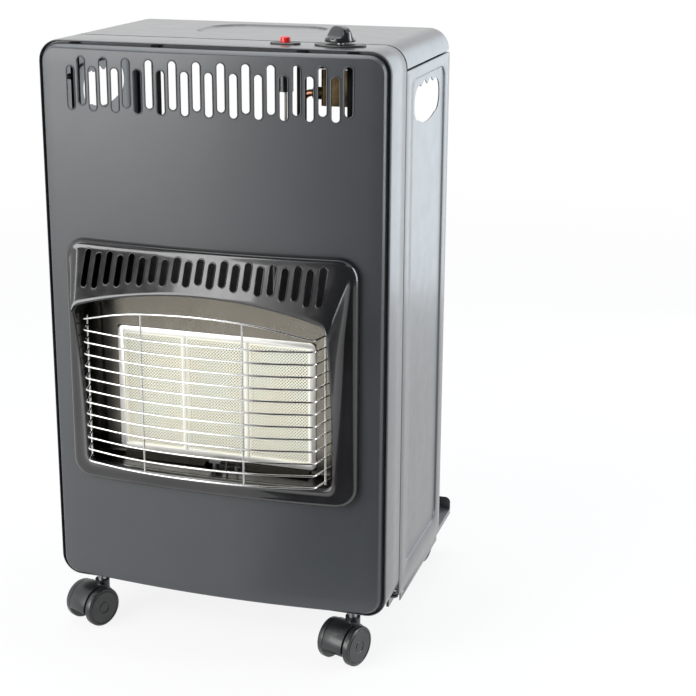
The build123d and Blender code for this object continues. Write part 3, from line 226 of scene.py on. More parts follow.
# ---- node trees --------------------------------------------------------------------------------
class Number:
    """A socket's value in a node tree, to reckon with like a plain number."""

    def __init__(self, graph, socket):
        self.graph, self.socket = graph, socket

    def reckon(self, operation, other=0.0):
        return self.graph.number("ShaderNodeMath", {"operation": operation}, _0=self, _1=other)

    __add__ = partialmethod(reckon, "ADD")
    __sub__ = partialmethod(reckon, "SUBTRACT")
    __mul__ = partialmethod(reckon, "MULTIPLY")
    __truediv__ = partialmethod(reckon, "DIVIDE")


class Graph:
    """Short ways to add nodes to a node tree."""

    def __init__(self, tree):
        self.tree = tree

    def put(self, socket, value):
        """Set a socket to a value, or link it to a number, a socket or a node's first output."""
        if isinstance(value, Number):
            value = value.socket
        elif isinstance(value, bpy.types.Node):
            value = value.outputs[0]
        if isinstance(value, bpy.types.NodeSocket):
            self.tree.links.new(value, socket)
        else:
            socket.default_value = value

    def fill(self, node, **inputs):
        """Put the node's inputs, by number as _0 or by name with _ for each space."""
        for key, value in inputs.items():
            self.put(node.inputs[int(key[1:]) if key[0] == "_" else key.replace("_", " ")], value)
        return node

    def node(self, kind, setup=None, **inputs):
        """A new node with its properties from setup."""
        node = self.tree.nodes.new(kind)
        for key, value in (setup or {}).items():
            setattr(node, key, value)
        return self.fill(node, **inputs)

    def number(self, kind, setup=None, **inputs):
        return Number(self, self.node(kind, setup, **inputs).outputs[0])

    def split(self, vector):
        return [Number(self, part) for part in
                self.node("ShaderNodeSeparateXYZ", _0=vector).outputs]

    def mapped(self, value, start, end, low, high, **setup):
        """The value carried from the reach start to end over to the reach low to high."""
        return self.node("ShaderNodeMapRange", setup, Value=value, From_Min=start, From_Max=end,
                         To_Min=low, To_Max=high).outputs["Result"]


class Tree(Graph):
    """A Geometry Nodes tree that takes a piece, a finish and named inputs."""

    def __init__(self, name, **labels):
        super().__init__(bpy.data.node_groups.new(name, "GeometryNodeTree"))
        face = self.tree.interface
        for way in ("INPUT", "OUTPUT"):
            face.new_socket("Geometry", in_out=way, socket_type="NodeSocketGeometry")
        self.ids = {}
        for kind, names in {**labels, "Material": ("Finish",)}.items():
            for label in names:
                self.ids[label] = face.new_socket(label, in_out="INPUT",
                                                  socket_type=f"NodeSocket{kind}").identifier
        inputs = self.node("NodeGroupInput").outputs
        self.piece = inputs["Geometry"]
        self.given = {label: Number(self, inputs[label]) for label in self.ids}

    def geo(self, kind, setup=None, **inputs):
        return self.node(f"GeometryNode{kind}", setup, **inputs)

    def join(self, **axes):
        return self.node("ShaderNodeCombineXYZ", **axes)

    def position(self):
        return self.split(self.geo("InputPosition"))

    def finish(self, *parts):
        """Join the parts, realize their instances, set the finish and end the tree."""
        whole = self.geo("JoinGeometry")
        for part in parts:
            self.put(whole.inputs[0], part)
        real = self.geo("RealizeInstances", _0=whole)
        painted = self.geo("SetMaterial", _0=real, Material=self.given["Finish"])
        self.node("NodeGroupOutput", _0=painted)
        return self

    def run(self, piece, **values):
        """Run the tree on a piece with these inputs and leave a plain mesh."""
        work = piece.modifiers.new(self.tree.name, "NODES")
        work.node_group = self.tree
        for key, value in values.items():
            work[self.ids[key.replace("_", " ")]] = value
        return settle(piece)


# ---- finishes ----------------------------------------------------------------------------------
def blank_finish(name):
    """A node material with its graph, its shader and Object coordinates."""
    finish = bpy.data.materials.new(name)
    finish.use_nodes = True
    graph = Graph(finish.node_tree)
    place = graph.node("ShaderNodeTexCoord").outputs["Object"]
    return finish, graph, finish.node_tree.nodes["Principled BSDF"], place


def noise(graph, place, scale, detail):
    """A noise that mostly stays between 0.3 and 0.7."""
    return graph.node("ShaderNodeTexNoise", Vector=place, Scale=scale, Detail=detail).outputs["Fac"]


def mottled(graph, place, scale, low, high, detail=4.0):
    """A colour that wanders between low and high with a noise of the given scale per metre."""
    ramp = graph.node("ShaderNodeValToRGB", Fac=noise(graph, place, scale, detail))
    for element, position, colour in zip(ramp.color_ramp.elements, (0.3, 0.7), (low, high)):
        element.position, element.color = position, (*colour, 1)
    return ramp.outputs["Color"]


def wandering(graph, place, scale, low, high):
    """A number that wanders between low and high."""
    return graph.mapped(noise(graph, place, scale, 5.0), 0.3, 0.7, low, high)


def grained(graph, place, shader, scale, strength, distance, stretch=None):
    """Fine relief from a noise, drawn out along one axis where stretch is given."""
    if stretch:
        place = graph.node("ShaderNodeMapping", Vector=place, Scale=stretch)
    bump = graph.node("ShaderNodeBump", Strength=strength, Distance=distance,
                      Height=noise(graph, place, scale, 3.0))
    graph.fill(shader, Normal=bump)


def finish_of(name, colour, spread, roughness, grain, patch, stretch=None, **shader_inputs):
    """A finish whose colour, roughness and relief all vary: spread is how far the colour does."""
    finish, graph, shader, place = blank_finish(name)
    low = tuple(c * (1 - spread) for c in colour)
    high = tuple(min(c * (1 + spread), 1.0) for c in colour)
    graph.fill(shader, Base_Color=mottled(graph, place, patch, low, high),
               Roughness=wandering(graph, place, patch * 5, *roughness),
               **{"Coat_Roughness": 0.08, **shader_inputs})
    grained(graph, place, shader, *grain, stretch)
    return finish


def darkened_along(graph, colour, place, axis, start, end, dark):
    """The colour darkened by the factor dark from start to end along an axis."""
    share = graph.mapped(graph.split(place)[axis], start, end, 1.0, dark,
                         interpolation_type="SMOOTHSTEP")
    return graph.node("ShaderNodeVectorMath", {"operation": "SCALE"}, _0=colour, Scale=share)


def reflector_finish():
    """Brownish polished steel, with painted shade darkening its left end, and darker towards the
    bottom.
    """
    finish, graph, shader, place = blank_finish("reflector_steel")
    colour = mottled(graph, place, 9, (0.20, 0.185, 0.155), (0.25, 0.23, 0.195))
    # darker towards the bottom
    colour = darkened_along(graph, colour, place, 2, 275 * MM, 240 * MM, 0.12)
    # painted shade and dark reflection at the left end
    colour = darkened_along(graph, colour, place, 0, -110 * MM, -140 * MM, 0.12)
    graph.fill(shader, Base_Color=colour, Metallic=0.9,
               Roughness=wandering(graph, place, 40, 0.18, 0.3))
    grained(graph, place, shader, 160, 0.04, 0.0004, (0.2, 1, 1))
    return finish


def ceramic_finish(colour):
    """Matt cream with painted shade that darkens it inside the fine holes, with warmer and greener
    patches.
    """
    finish, graph, shader, place = blank_finish("cream_ceramic")
    warm, green = (tuple(c * f for c, f in zip(colour, tint))
                   for tint in ((1.0, 0.96, 0.88), (0.97, 1.0, 0.97)))
    # painted shade: the cream darkens deeper into the fine holes
    cream = darkened_along(graph, mottled(graph, place, 26, warm, green, 3), place, 1,
                  PLAQUE_FRONT + 0.1 * MM, PLAQUE_FRONT + 0.8 * MM, 0.28)
    graph.fill(shader, Base_Color=cream, Specular_IOR_Level=0.2,
               Roughness=wandering(graph, place, 90, 0.8, 0.95))
    grained(graph, place, shader, 1800, 0.3, 0.0003)
    return finish


FINISHES = {}


def mix_finishes(c):
    """All the heater's finishes, by the name of the record's slot that each one shows.

    Each row: slot, colour, how far it varies, roughness from and to, grain (scale, strength and
    distance), patches per metre, and the shader inputs that differ from the usual ones.
    """
    rows = (
        ("cabinet_paint", c.paint, 0.05, (0.40, 0.46), (1500, 0.04, 0.0002), 8,
         {"Coat_Weight": 1.0, "Coat_Roughness": 0.26, "Coat_IOR": 1.3,
          "Specular_IOR_Level": 0.4}),
        ("black_enamel", c.enamel, 0.3, (0.14, 0.26), (420, 0.10, 0.0003), 14,
         {"Coat_Weight": 0.6, "Coat_Roughness": 0.05, "stretch": (1, 1, 0.12)}),
        ("chrome_wire", (0.82, 0.82, 0.81), 0.05, (0.08, 0.18), (900, 0.03, 0.0001), 30,
         {"Metallic": 1.0}),
        ("bright_steel", (0.72, 0.71, 0.68), 0.05, (0.34, 0.42), (500, 0.03, 0.0002), 20,
         {"Metallic": 0.75, "stretch": (0.05, 1, 1)}),
        # near-black steel: it also stands in as painted shade on the brackets and braces inside the
        # cabinet
        ("sooty_steel", (0.012, 0.012, 0.012), 0.3, (0.7, 0.9), (600, 0.2, 0.0003), 18,
         {"Metallic": 0.3, "Specular_IOR_Level": 0.1}),
        ("dark_steel", (0.10, 0.10, 0.10), 0.3, (0.35, 0.55), (600, 0.2, 0.0003), 18,
         {"Metallic": 0.9}),
        ("zinc_steel", (0.50, 0.52, 0.55), 0.18, (0.3, 0.48), (500, 0.15, 0.0002), 60,
         {"Metallic": 1.0}),
        ("valve_brass", (0.07, 0.05, 0.025), 0.8, (0.3, 0.42), (900, 0.03, 0.0001), 45,
         {"Metallic": 0.9}),
        ("stained_zinc", (0.07, 0.07, 0.075), 0.3, (0.5, 0.65), (500, 0.08, 0.0002), 14,
         {"Metallic": 0.6}),
        ("copper", (0.62, 0.30, 0.17), 0.2, (0.22, 0.4), (500, 0.08, 0.0002), 30,
         {"Metallic": 1.0}),
        ("gloss_black", c.plastic, 0.2, (0.12, 0.2), (700, 0.03, 0.0001), 40,
         {"Coat_Weight": 0.4}),
        ("castor_black", c.plastic, 0.3, (0.28, 0.4), (1300, 0.1, 0.0002), 50,
         {"Coat_Weight": 0.15}),
        ("red_plastic", c.button, 0.12, (0.2, 0.3), (900, 0.05, 0.0001), 80,
         {"Coat_Weight": 0.3}),
        ("lead_sleeve", (0.58, 0.56, 0.52), 0.15, (0.6, 0.8), (1200, 0.4, 0.0003), 60, {}),
    )
    for slot, *look, inputs in rows:
        FINISHES[slot] = finish_of(slot, *look, **inputs)
    FINISHES["ceramic"] = ceramic_finish(c.ceramic)
    FINISHES["reflector_steel"] = reflector_finish()


# ---- pieces and their meshes -------------------------------------------------------------------
def body_of_node(node):
    """The body that a solid rides on, by the record."""
    bodies = frame["record"]["behaviour"]["bodies"]
    return next(body for body, members in bodies.items() if node in members)


def slot_of_node(node):
    """The record's finish for a solid."""
    return next(part["material_slot"] for part in frame["record"]["subparts"]
                if part["node"] == node)


def new_piece(name, verts, faces):
    """A linked mesh object at the origin."""
    mesh = bpy.data.meshes.new(name)
    mesh.from_pydata([tuple(v) for v in verts], [], faces)
    mesh.update()
    piece = bpy.data.objects.new(name, mesh)
    bpy.context.scene.collection.objects.link(piece)
    return piece


def settle(piece):
    """Turn the piece with its modifiers into a plain mesh and drop the modifiers."""
    graph = bpy.context.evaluated_depsgraph_get()
    mesh = bpy.data.meshes.new_from_object(piece.evaluated_get(graph), depsgraph=graph)
    piece.modifiers.clear()
    piece.data = mesh
    mesh.name = piece.name
    return piece


def paint(piece, finish):
    """Give all of a piece's faces one finish."""
    piece.data.materials.clear()
    piece.data.materials.append(FINISHES[finish])
    for face in piece.data.polygons:
        face.material_index = 0


def finish_piece(piece, *nodes, angle=32, slot=None, finish=None):
    """Shade and paint a piece, and let it stand in for solids, on their body and in their slot."""
    piece.data.shade_smooth()
    piece.data.set_sharp_from_angle(angle=math.radians(angle))
    slot = slot or slot_of_node(nodes[0])
    paint(piece, finish or slot)
    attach(piece, body_of_node(nodes[0]))
    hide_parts(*nodes)


def cut(piece, cutter):
    """Cut a closed shape out of a closed piece, and throw the cutter away."""
    hole = piece.modifiers.new("hole", "BOOLEAN")
    hole.operation, hole.solver, hole.object = "DIFFERENCE", "EXACT", cutter
    settle(piece)
    bpy.data.objects.remove(cutter, do_unlink=True)


def ease_edges(piece, width, angle, segments=2):
    """Round off the edges that are sharper than the angle."""
    ease = piece.modifiers.new("ease", "BEVEL")
    ease.width, ease.segments = width, segments
    ease.limit_method, ease.angle_limit = "ANGLE", math.radians(angle)
    settle(piece)


def softened(node, width, finish=None, segments=2):
    """A solid's own shape with its sharp edges eased, in the solid's place."""
    mesh = frame["nodes"][node].data.copy()
    work = bmesh.new()
    work.from_mesh(mesh)
    bmesh.ops.remove_doubles(work, verts=work.verts, dist=2e-6)
    bmesh.ops.dissolve_limit(work, angle_limit=math.radians(0.6), verts=work.verts,
                             edges=work.edges)
    work.to_mesh(mesh)
    work.free()
    piece = bpy.data.objects.new(f"{node}_eased", mesh)
    bpy.context.scene.collection.objects.link(piece)
    ease_edges(piece, width, SHARP, segments)
    finish_piece(piece, node, angle=SHARP, finish=finish)


def block(name, near, far):
    """A closed block between two like outlines; near is counter-clockwise seen from outside."""
    count = len(near)
    faces = [tuple(range(count)), tuple(reversed(range(count, 2 * count)))]
    faces += [(i, count + i, count + (i + 1) % count, (i + 1) % count) for i in range(count)]
    return new_piece(name, near + far, faces)


def prism(name, loop, front, back):
    """A closed block whose outline is the loop, from front to back along Y."""
    return block(name, *([(u, y, v) for u, v, *_ in loop] for y in (front, back)))


def rectangle(low, high, inset=0.0):
    """The corners of a box seen from the front, moved inwards."""
    left, right, foot, top = low.x + inset, high.x - inset, low.z + inset, high.z - inset
    return [(left, foot), (right, foot), (right, top), (left, top)]


class Surface:
    """Points and faces of a surface that is put together ring by ring."""

    def __init__(self):
        self.verts, self.faces, self.index = [], [], {}

    def add(self, place):
        self.verts.append(tuple(place))
        return len(self.verts) - 1

    def point(self, key, place):
        """The number of the point with this key, made at place if it is new."""
        if key not in self.index:
            self.index[key] = self.add(place)
        return self.index[key]

    def lay(self, loop, place):
        """Add the point place(u, v) for each item of a loop, and return their numbers."""
        return [self.add(place(u, v)) for u, v, *_ in loop]

    def ring(self, inner, outer):
        """Faces between two closed rings, the one inside the other seen from outside.

        Either may be a single point, where the surface closes.
        """
        count = max(len(inner), len(outer))
        for i in range(count):
            j = (i + 1) % count
            if len(inner) == 1:
                self.faces.append((inner[0], outer[i], outer[j]))
            elif len(outer) == 1:
                self.faces.append((inner[i], outer[0], inner[j]))
            else:
                self.faces.append((inner[i], outer[i], outer[j], inner[j]))

    def rings(self, rings):
        """Faces between each ring and the next, from the innermost outwards."""
        for inner, outer in zip(rings, rings[1:]):
            self.ring(inner, outer)

    def piece(self, name):
        return new_piece(name, self.verts, self.faces)

    def sheet(self, name, thickness=SHEET):
        """The surface as a piece with a sheet's thickness behind its faces."""
        piece = self.piece(name)
        sheet = piece.modifiers.new("sheet", "SOLIDIFY")
        sheet.thickness, sheet.offset, sheet.use_even_offset = thickness, -1, True
        return settle(piece)

    def tube(self, path, radius, sides=10):
        """Add a closed round tube along the path."""
        normal = None
        rings = []
        for i, here in enumerate(path):
            ahead = (path[min(i + 1, len(path) - 1)] - path[max(i - 1, 0)]).normalized()
            if normal is None:
                normal = ahead.orthogonal().normalized()
            normal = (normal - ahead * normal.dot(ahead)).normalized()
            other = ahead.cross(normal)
            rings.append([self.add(here + radius * (normal * math.cos(a) + other * math.sin(a)))
                          for a in around(sides)])
        for lower, upper in zip(rings, rings[1:]):
            self.ring(upper, lower)
        self.faces += [tuple(reversed(rings[0])), tuple(rings[-1])]

    def lathe(self, profile, foot, axis, turns=56):
        """Add a turned shape: profile is (radius, distance along the axis) from its foot up."""
        axis = Vector(axis).normalized()
        side = axis.orthogonal().normalized()
        other = axis.cross(side)
        rings = []
        for radius, along in profile:
            angles = around(turns) if radius else [0]
            rings.append([self.add(Vector(foot) + axis * along + radius
                                   * (side * math.cos(a) + other * math.sin(a)))
                          for a in angles])
        for lower, upper in zip(rings, rings[1:]):
            self.ring(upper, lower)


def rounded_loop(half, low, high, radius, columns, rows, arc=8):
    """(u, v, out_u, out_v) round a rounded rectangle, counter-clockwise from its lower left."""
    us = evenly(-half + radius, half - radius, columns)
    vs = evenly(low + radius, high - radius, rows)
    right, left, foot, top = half - radius, -half + radius, low + radius, high - radius
    sides = (([(u, low) for u in us], (0, -1), (right, foot)),
             ([(half, v) for v in vs], (1, 0), (right, top)),
             ([(u, high) for u in reversed(us)], (0, 1), (left, top)),
             ([(-half, v) for v in reversed(vs)], (-1, 0), (left, foot)))
    loop = []
    for spots, (ou, ov), (u, v) in sides:
        loop += [(*spot, ou, ov) for spot in spots]
        for t in quarter(arc):
            out_u = ou * math.cos(t) - ov * math.sin(t)
            out_v = ov * math.cos(t) + ou * math.sin(t)
            loop.append((u + radius * out_u, v + radius * out_v, out_u, out_v))
    return loop


def offset(loop, reach):
    """The loop moved outwards."""
    return [(u + ou * reach, v + ov * reach, ou, ov) for u, v, ou, ov in loop]


def mirrored(loop):
    """The loop's other half, at the left."""
    return [(-u, v, -ou, ov) for u, v, ou, ov in reversed(loop)]


def blended(near, far, share):
    """The places at a share of the way from one loop to another."""
    return [(u + (u1 - u) * share, v + (v1 - v) * share)
            for (u, v, *_), (u1, v1, *_) in zip(near, far)]


def rounded_field(surface, half, low, high, radius, columns, rows, place):
    """Fill a rounded rectangle with faces and return its edge as a loop and as point numbers.

    place(u, v) gives the point; u runs to the right and v up, seen from outside.
    """
    def at(u, v):
        return surface.point((round(u, 7), round(v, 7)), place(u, v))

    us = evenly(-half + radius, half - radius, columns)
    vs = evenly(low + radius, high - radius, rows)
    middle = list(zip(us, us[1:]))
    for spans, heights in ((middle, [low, *vs, high]), (((-half, us[0]), (us[-1], half)), vs)):
        for u0, u1 in spans:
            for v0, v1 in zip(heights, heights[1:]):
                surface.faces.append((at(u0, v0), at(u1, v0), at(u1, v1), at(u0, v1)))
    loop = rounded_loop(half, low, high, radius, columns, rows)
    edge = [at(u, v) for u, v, _, _ in loop]
    for i, (u, v, *out) in enumerate(loop):
        j = (i + 1) % len(loop)
        u1, v1, *out_next = loop[j]
        if out != out_next:
            centre = (math.copysign(half - radius, u + u1),
                      low + radius if v + v1 < low + high else high - radius)
            surface.faces.append((at(*centre), edge[i], edge[j]))
    return loop, edge


def rolled_rings(surface, loop, edge, place, steps):
    """Rings outwards from an edge: each step is (reach outwards, drop behind the surface)."""
    for reach, drop in steps:
        outer = surface.lay(offset(loop, reach), lambda u, v: place(u, v, drop))
        surface.ring(edge, outer)
        edge = outer
    return edge


def quarter_roll(radius, count):
    """(reach, drop) steps of a quarter-round edge."""
    return [(radius * math.sin(t), radius * (1 - math.cos(t)))
            for t in [*quarter(count), math.pi / 2]]


# ---- what single pieces are made with ----------------------------------------------------------
def stretched(tree, marked, shape):
    """Stand a round shape at each marked point and pull its two halves to the slot's ends."""
    laid = tree.geo("Transform", _0=shape, Rotation=(math.pi / 2, math.pi / SLOT_SIDES, 0.0))
    slots = tree.geo("InstanceOnPoints", _0=marked, Instance=laid)
    real = tree.geo("RealizeInstances", _0=slots)
    low, high = (tree.number("GeometryNodeInputNamedAttribute", {"data_type": "FLOAT"},
                             Name=label) for label in ("slot_low", "slot_high"))
    above = tree.position()[2].reckon("GREATER_THAN", 0.0)
    return tree.geo("SetPosition", _0=real, Offset=tree.join(Z=low + above * (high - low)))


def slot_row_tree():
    """Cuts a row of upright round-ended slots, every other one raised, out of a piece."""
    tree = Tree("slot_row", Int=("Count",), Float=(
        "Pitch", "Width", "Low", "High", "Raise Low", "Raise High", "Arch Radius", "Front", "Rim"))
    given = tree.given
    count, pitch, front, rim = (given[label] for label in ("Count", "Pitch", "Front", "Rim"))
    radius, arch_radius = given["Width"] * 0.5, given["Arch Radius"]
    centre_y = front + SLOT_CUT_DEPTH * 0.5
    start = tree.join(X=(count - 1.0) * -0.5 * pitch, Y=centre_y)
    marked = tree.geo("MeshLine", {"mode": "OFFSET"}, Count=count, Start_Location=start,
                      Offset=tree.join(X=pitch))
    odd = tree.number("GeometryNodeInputIndex").reckon("MODULO", 2.0)
    x = tree.position()[0]
    sag = (arch_radius * arch_radius - x * x).reckon("SQRT") - arch_radius
    low = given["Low"] + sag + odd * given["Raise Low"] + radius
    high = given["High"] + odd * given["Raise High"] - radius
    for label, value in (("slot_low", low), ("slot_high", high)):
        marked = tree.geo("StoreNamedAttribute", {"data_type": "FLOAT", "domain": "POINT"},
                          _0=marked, Name=label, Value=value)
    drum = tree.geo("MeshCylinder", Vertices=SLOT_SIDES, Radius=radius, Depth=SLOT_CUT_DEPTH)
    edge = tree.geo("CurvePrimitiveCircle", Resolution=SLOT_SIDES, Radius=radius + rim * 0.4)
    wire = tree.geo("CurvePrimitiveCircle", Resolution=8, Radius=rim)
    bead = tree.geo("CurveToMesh", _0=edge, Profile_Curve=wire)
    drums, beads = (stretched(tree, marked, shape) for shape in (drum, bead))
    # each bead is laid on the skin that a ray from the front meets
    x, y, z = tree.position()
    ray = tree.geo("Raycast", Target_Geometry=tree.piece, Ray_Direction=(0.0, 1.0, 0.0),
                   Ray_Length=1.0, Source_Position=tree.join(X=x, Y=front, Z=z))
    skin = tree.split(ray.outputs["Hit Position"])[1]
    laid = tree.geo("SetPosition", _0=beads, Position=tree.join(X=x, Y=skin + (y - centre_y), Z=z))
    opened = tree.geo("MeshBoolean", {"operation": "DIFFERENCE", "solver": "EXACT"},
                      Mesh_1=tree.piece, Mesh_2=drums)
    return tree.finish(opened, laid)


def plaque_tree():
    """Fills the front of a slab with a grid of cells, each with a blind round hole."""
    tree = Tree("plaque_holes", Vector=("Low", "High"), Float=("Pitch", "Hole", "Border"))
    low, high = tree.split(tree.given["Low"]), tree.split(tree.given["High"])
    pitch, hole, border = (tree.given[label] for label in ("Pitch", "Hole", "Border"))
    size = [b - a for a, b in zip(low, high)]
    middle = [(a + b) * 0.5 for a, b in zip(low, high)]

    def stood(shape, place=(0.0, 0.0, 0.0)):
        return tree.geo("Transform", _0=shape, Rotation=(math.pi / 2, 0.0, 0.0), Translation=place)

    def extruded(shape, **inputs):
        return tree.geo("ExtrudeMesh", {"mode": "FACES"}, Mesh=shape, Individual=True, **inputs)

    front = tree.join(X=middle[0], Y=low[1], Z=middle[2])
    room = [size[i] - border * 2.0 for i in (0, 2)]
    counts = [(length / pitch).reckon("ROUND") for length in room]
    cell = [length / count for length, count in zip(room, counts)]
    span = [length - step for length, step in zip(room, cell)]
    points = tree.geo("MeshGrid", _0=span[0], _1=span[1], _2=counts[0], _3=counts[1])
    # the cell: an octagon drawn out to a square, with a blind hole pushed into it
    octagon = tree.geo("MeshCircle", {"fill_type": "NGON"}, Vertices=8, Radius=0.5)
    turned = tree.geo("Transform", _0=octagon, Rotation=(0.0, 0.0, math.pi / 8))
    x, y, _ = tree.position()
    reach = x.reckon("ABSOLUTE").reckon("MAXIMUM", y.reckon("ABSOLUTE"))
    square = tree.geo("SetPosition", _0=turned, Position=tree.join(
        X=x / reach * (cell[0] * 0.5), Y=y / reach * (cell[1] * 0.5)))
    rim = extruded(square, Offset_Scale=0.0)
    angle, radius = y.reckon("ARCTAN2", x), hole * 0.5
    shrunk = tree.geo("SetPosition", _0=rim, Selection=rim.outputs[1],
                      Position=tree.join(X=angle.reckon("COSINE") * radius,
                                         Y=angle.reckon("SINE") * radius))
    sunk = extruded(shrunk, Selection=rim.outputs[1], Offset=tree.join(Z=hole * -1.2),
                    Offset_Scale=1.0)
    cells = tree.geo("InstanceOnPoints", _0=stood(points, front), Instance=stood(sunk))
    # the border: a ring round the cells
    whole = tree.geo("MeshGrid", _0=size[0], _1=size[2], _2=2, _3=2)
    ring = extruded(stood(whole, front), Offset_Scale=0.0)
    here = tree.position()
    inward = [(here[i] - middle[i]).reckon("SIGN") * (border * -1.0) for i in (0, 2)]
    opened = tree.geo("SetPosition", _0=ring, Selection=ring.outputs[1],
                      Offset=tree.join(X=inward[0], Z=inward[1]))
    left = tree.geo("DeleteGeometry", {"domain": "FACE"}, _0=opened, Selection=ring.outputs[1])
    return tree.finish(tree.piece, cells, left)


def repeat_tree():
    """Repeats a piece at even steps upwards."""
    tree = Tree("guard_rows", Int=("Count",), Float=("Step",))
    line = tree.geo("MeshLine", {"mode": "OFFSET"}, Count=tree.given["Count"],
                    Offset=tree.join(Z=tree.given["Step"]))
    return tree.finish(tree.geo("InstanceOnPoints", _0=line, Instance=tree.piece))


def window_loop():
    """The burner window's edge with its outward directions, counter-clockwise from lower left."""
    columns, rows, arc = RIM_COUNTS
    low, centre = WINDOW_SILL + WINDOW_RADIUS, WINDOW_ARCH - ARCH_RADIUS
    inner = WINDOW_SIDE - WINDOW_RADIUS
    spring = centre + math.sqrt((ARCH_RADIUS - WINDOW_RADIUS) ** 2 - inner ** 2)
    corner = math.atan2(spring - centre, inner)

    def on(cx, cz, radius, angle):
        return (cx + radius * math.cos(angle), cz + radius * math.sin(angle),
                math.cos(angle), math.sin(angle))

    share = [i / arc for i in range(1, arc)]
    sill = [(u, WINDOW_SILL, 0, -1) for u in evenly(-inner, inner, columns)]
    side = [on(inner, low, WINDOW_RADIUS, math.pi / 2 * (t - 1)) for t in share]
    side += [(WINDOW_SIDE, v, 1, 0) for v in evenly(low, spring, rows)]
    side += [on(inner, spring, WINDOW_RADIUS, corner * t) for t in share]
    top = [on(0, centre, ARCH_RADIUS, a) for a in evenly(corner, math.pi - corner, columns)]
    return [*sill, *side, *top, *mirrored(side)]


def lip_height(z):
    """How far the rim round the window stands in front of the panel at a height."""
    brow, hood_top, hood_lean = WINDOW_SPRING - 6 * MM, 496 * MM, 30 / 70
    if z > brow:
        return BEZEL_PROUD + hood_lean * (hood_top - z)
    share = (z - WINDOW_SILL) / (brow - WINDOW_SILL)
    return SILL_PROUD + (LIP_PROUD - SILL_PROUD) * max(share, 0) ** 2.2


def rounded_path(points, radii):
    """The points with each inner corner turned into a short curve."""
    path = [Vector(points[0])]
    for before, here, after, radius in zip(points, points[1:], points[2:], radii):
        before, here, after = Vector(before), Vector(here), Vector(after)
        turn = (here - before).angle(after - here)
        run = min(radius * math.tan(turn / 2), 0.48 * (here - before).length,
                  0.48 * (after - here).length)
        start = here + (before - here).normalized() * run
        end = here + (after - here).normalized() * run
        path += [start * (1 - t) ** 2 + here * 2 * t * (1 - t) + end * t ** 2
                 for t in (i / 5 for i in range(6))]
    path.append(Vector(points[-1]))
    return path


def guard_share(x):
    """How far the guard has bent back and down at x: 0 in its flat middle, 1 at its ends."""
    return ((max(abs(x), GUARD_FLAT) - GUARD_FLAT) / GUARD_WING) ** 2


def guard_front(x):
    """Depth of the guard's bent front at x."""
    return GROOVE - 73 * MM + 19 * MM * guard_share(x)


def guard_wire(surface, z, rise, radius):
    """Add a level wire that bends round the burner, raised in its middle."""
    leg = 148.6 * MM
    front = [(x, guard_front(x), z + rise * (1 - guard_share(x)))
             for x in (step * GUARD_FLAT for step in (-5, -3, -1, 1, 3, 5))]
    points = [(-leg, GROOVE - 20 * MM, z), *front, (leg, GROOVE - 20 * MM, z)]
    radii = [8 * MM] + [500 * MM] * 4 + [8 * MM]
    surface.tube(rounded_path(points, radii), radius)


def hand_hole(centre_y, centre_z):
    """The hand hole's outline in the side panel, with three finger scallops along its top."""
    half, straight, deep, corner = 59 * MM, 20 * MM, 26 * MM, 19 * MM
    scallop, scalloped = 28 * MM, 42 * MM

    def edge(y):
        over = max(abs(y) - (half - corner), 0)
        box = straight - corner + math.sqrt(max(corner ** 2 - over ** 2, 0))
        return max(box, deep * math.sqrt(max(1 - (y / half) ** 2, 0)))

    ys = [-half * math.cos(math.pi * i / 96) for i in range(97)]
    outline = [(y, -edge(y)) for y in ys]
    for y in reversed(ys[1:-1]):
        top = edge(y)
        if abs(y) < scalloped:
            lobe = (1 + math.cos(2 * math.pi * y / scallop)) / 2
            top = min(top, straight + 4 * MM - 6 * MM * lobe ** 1.5)
        outline.append((y, top))
    return [(centre_y + y, centre_z + z) for y, z in outline]


def add_lug(piece, centre, along, across, thickness, radius, reach, hole):
    """Add a flat lug to a piece's mesh: a round eye with a hole, drawn out square along one way."""
    work = bmesh.new()
    work.from_mesh(piece.data)
    corner = math.atan2(radius, reach)
    angles = sorted([*evenly(-math.pi, math.pi, 32)[:-1], corner, -corner])

    def spot(angle, in_hole, lift):
        far = hole
        if not in_hole:
            away = max(math.cos(angle), 0) / reach
            far = 1 / max(away, abs(math.sin(angle)) / radius) if away else radius
        return centre + (along * math.cos(angle) + across * math.sin(angle)) * far + lift

    rings = [[work.verts.new(spot(a, in_hole, lift)) for a in angles]
             for in_hole, lift in ((True, Vector()), (False, Vector()), (False, thickness),
                                   (True, thickness))]
    faces = []
    for near, far in zip(rings, rings[1:] + rings[:1]):
        for i in range(len(angles)):
            j = (i + 1) % len(angles)
            faces.append(work.faces.new((near[i], near[j], far[j], far[i])))
    bmesh.ops.recalc_face_normals(work, faces=faces)
    work.to_mesh(piece.data)
    work.free()


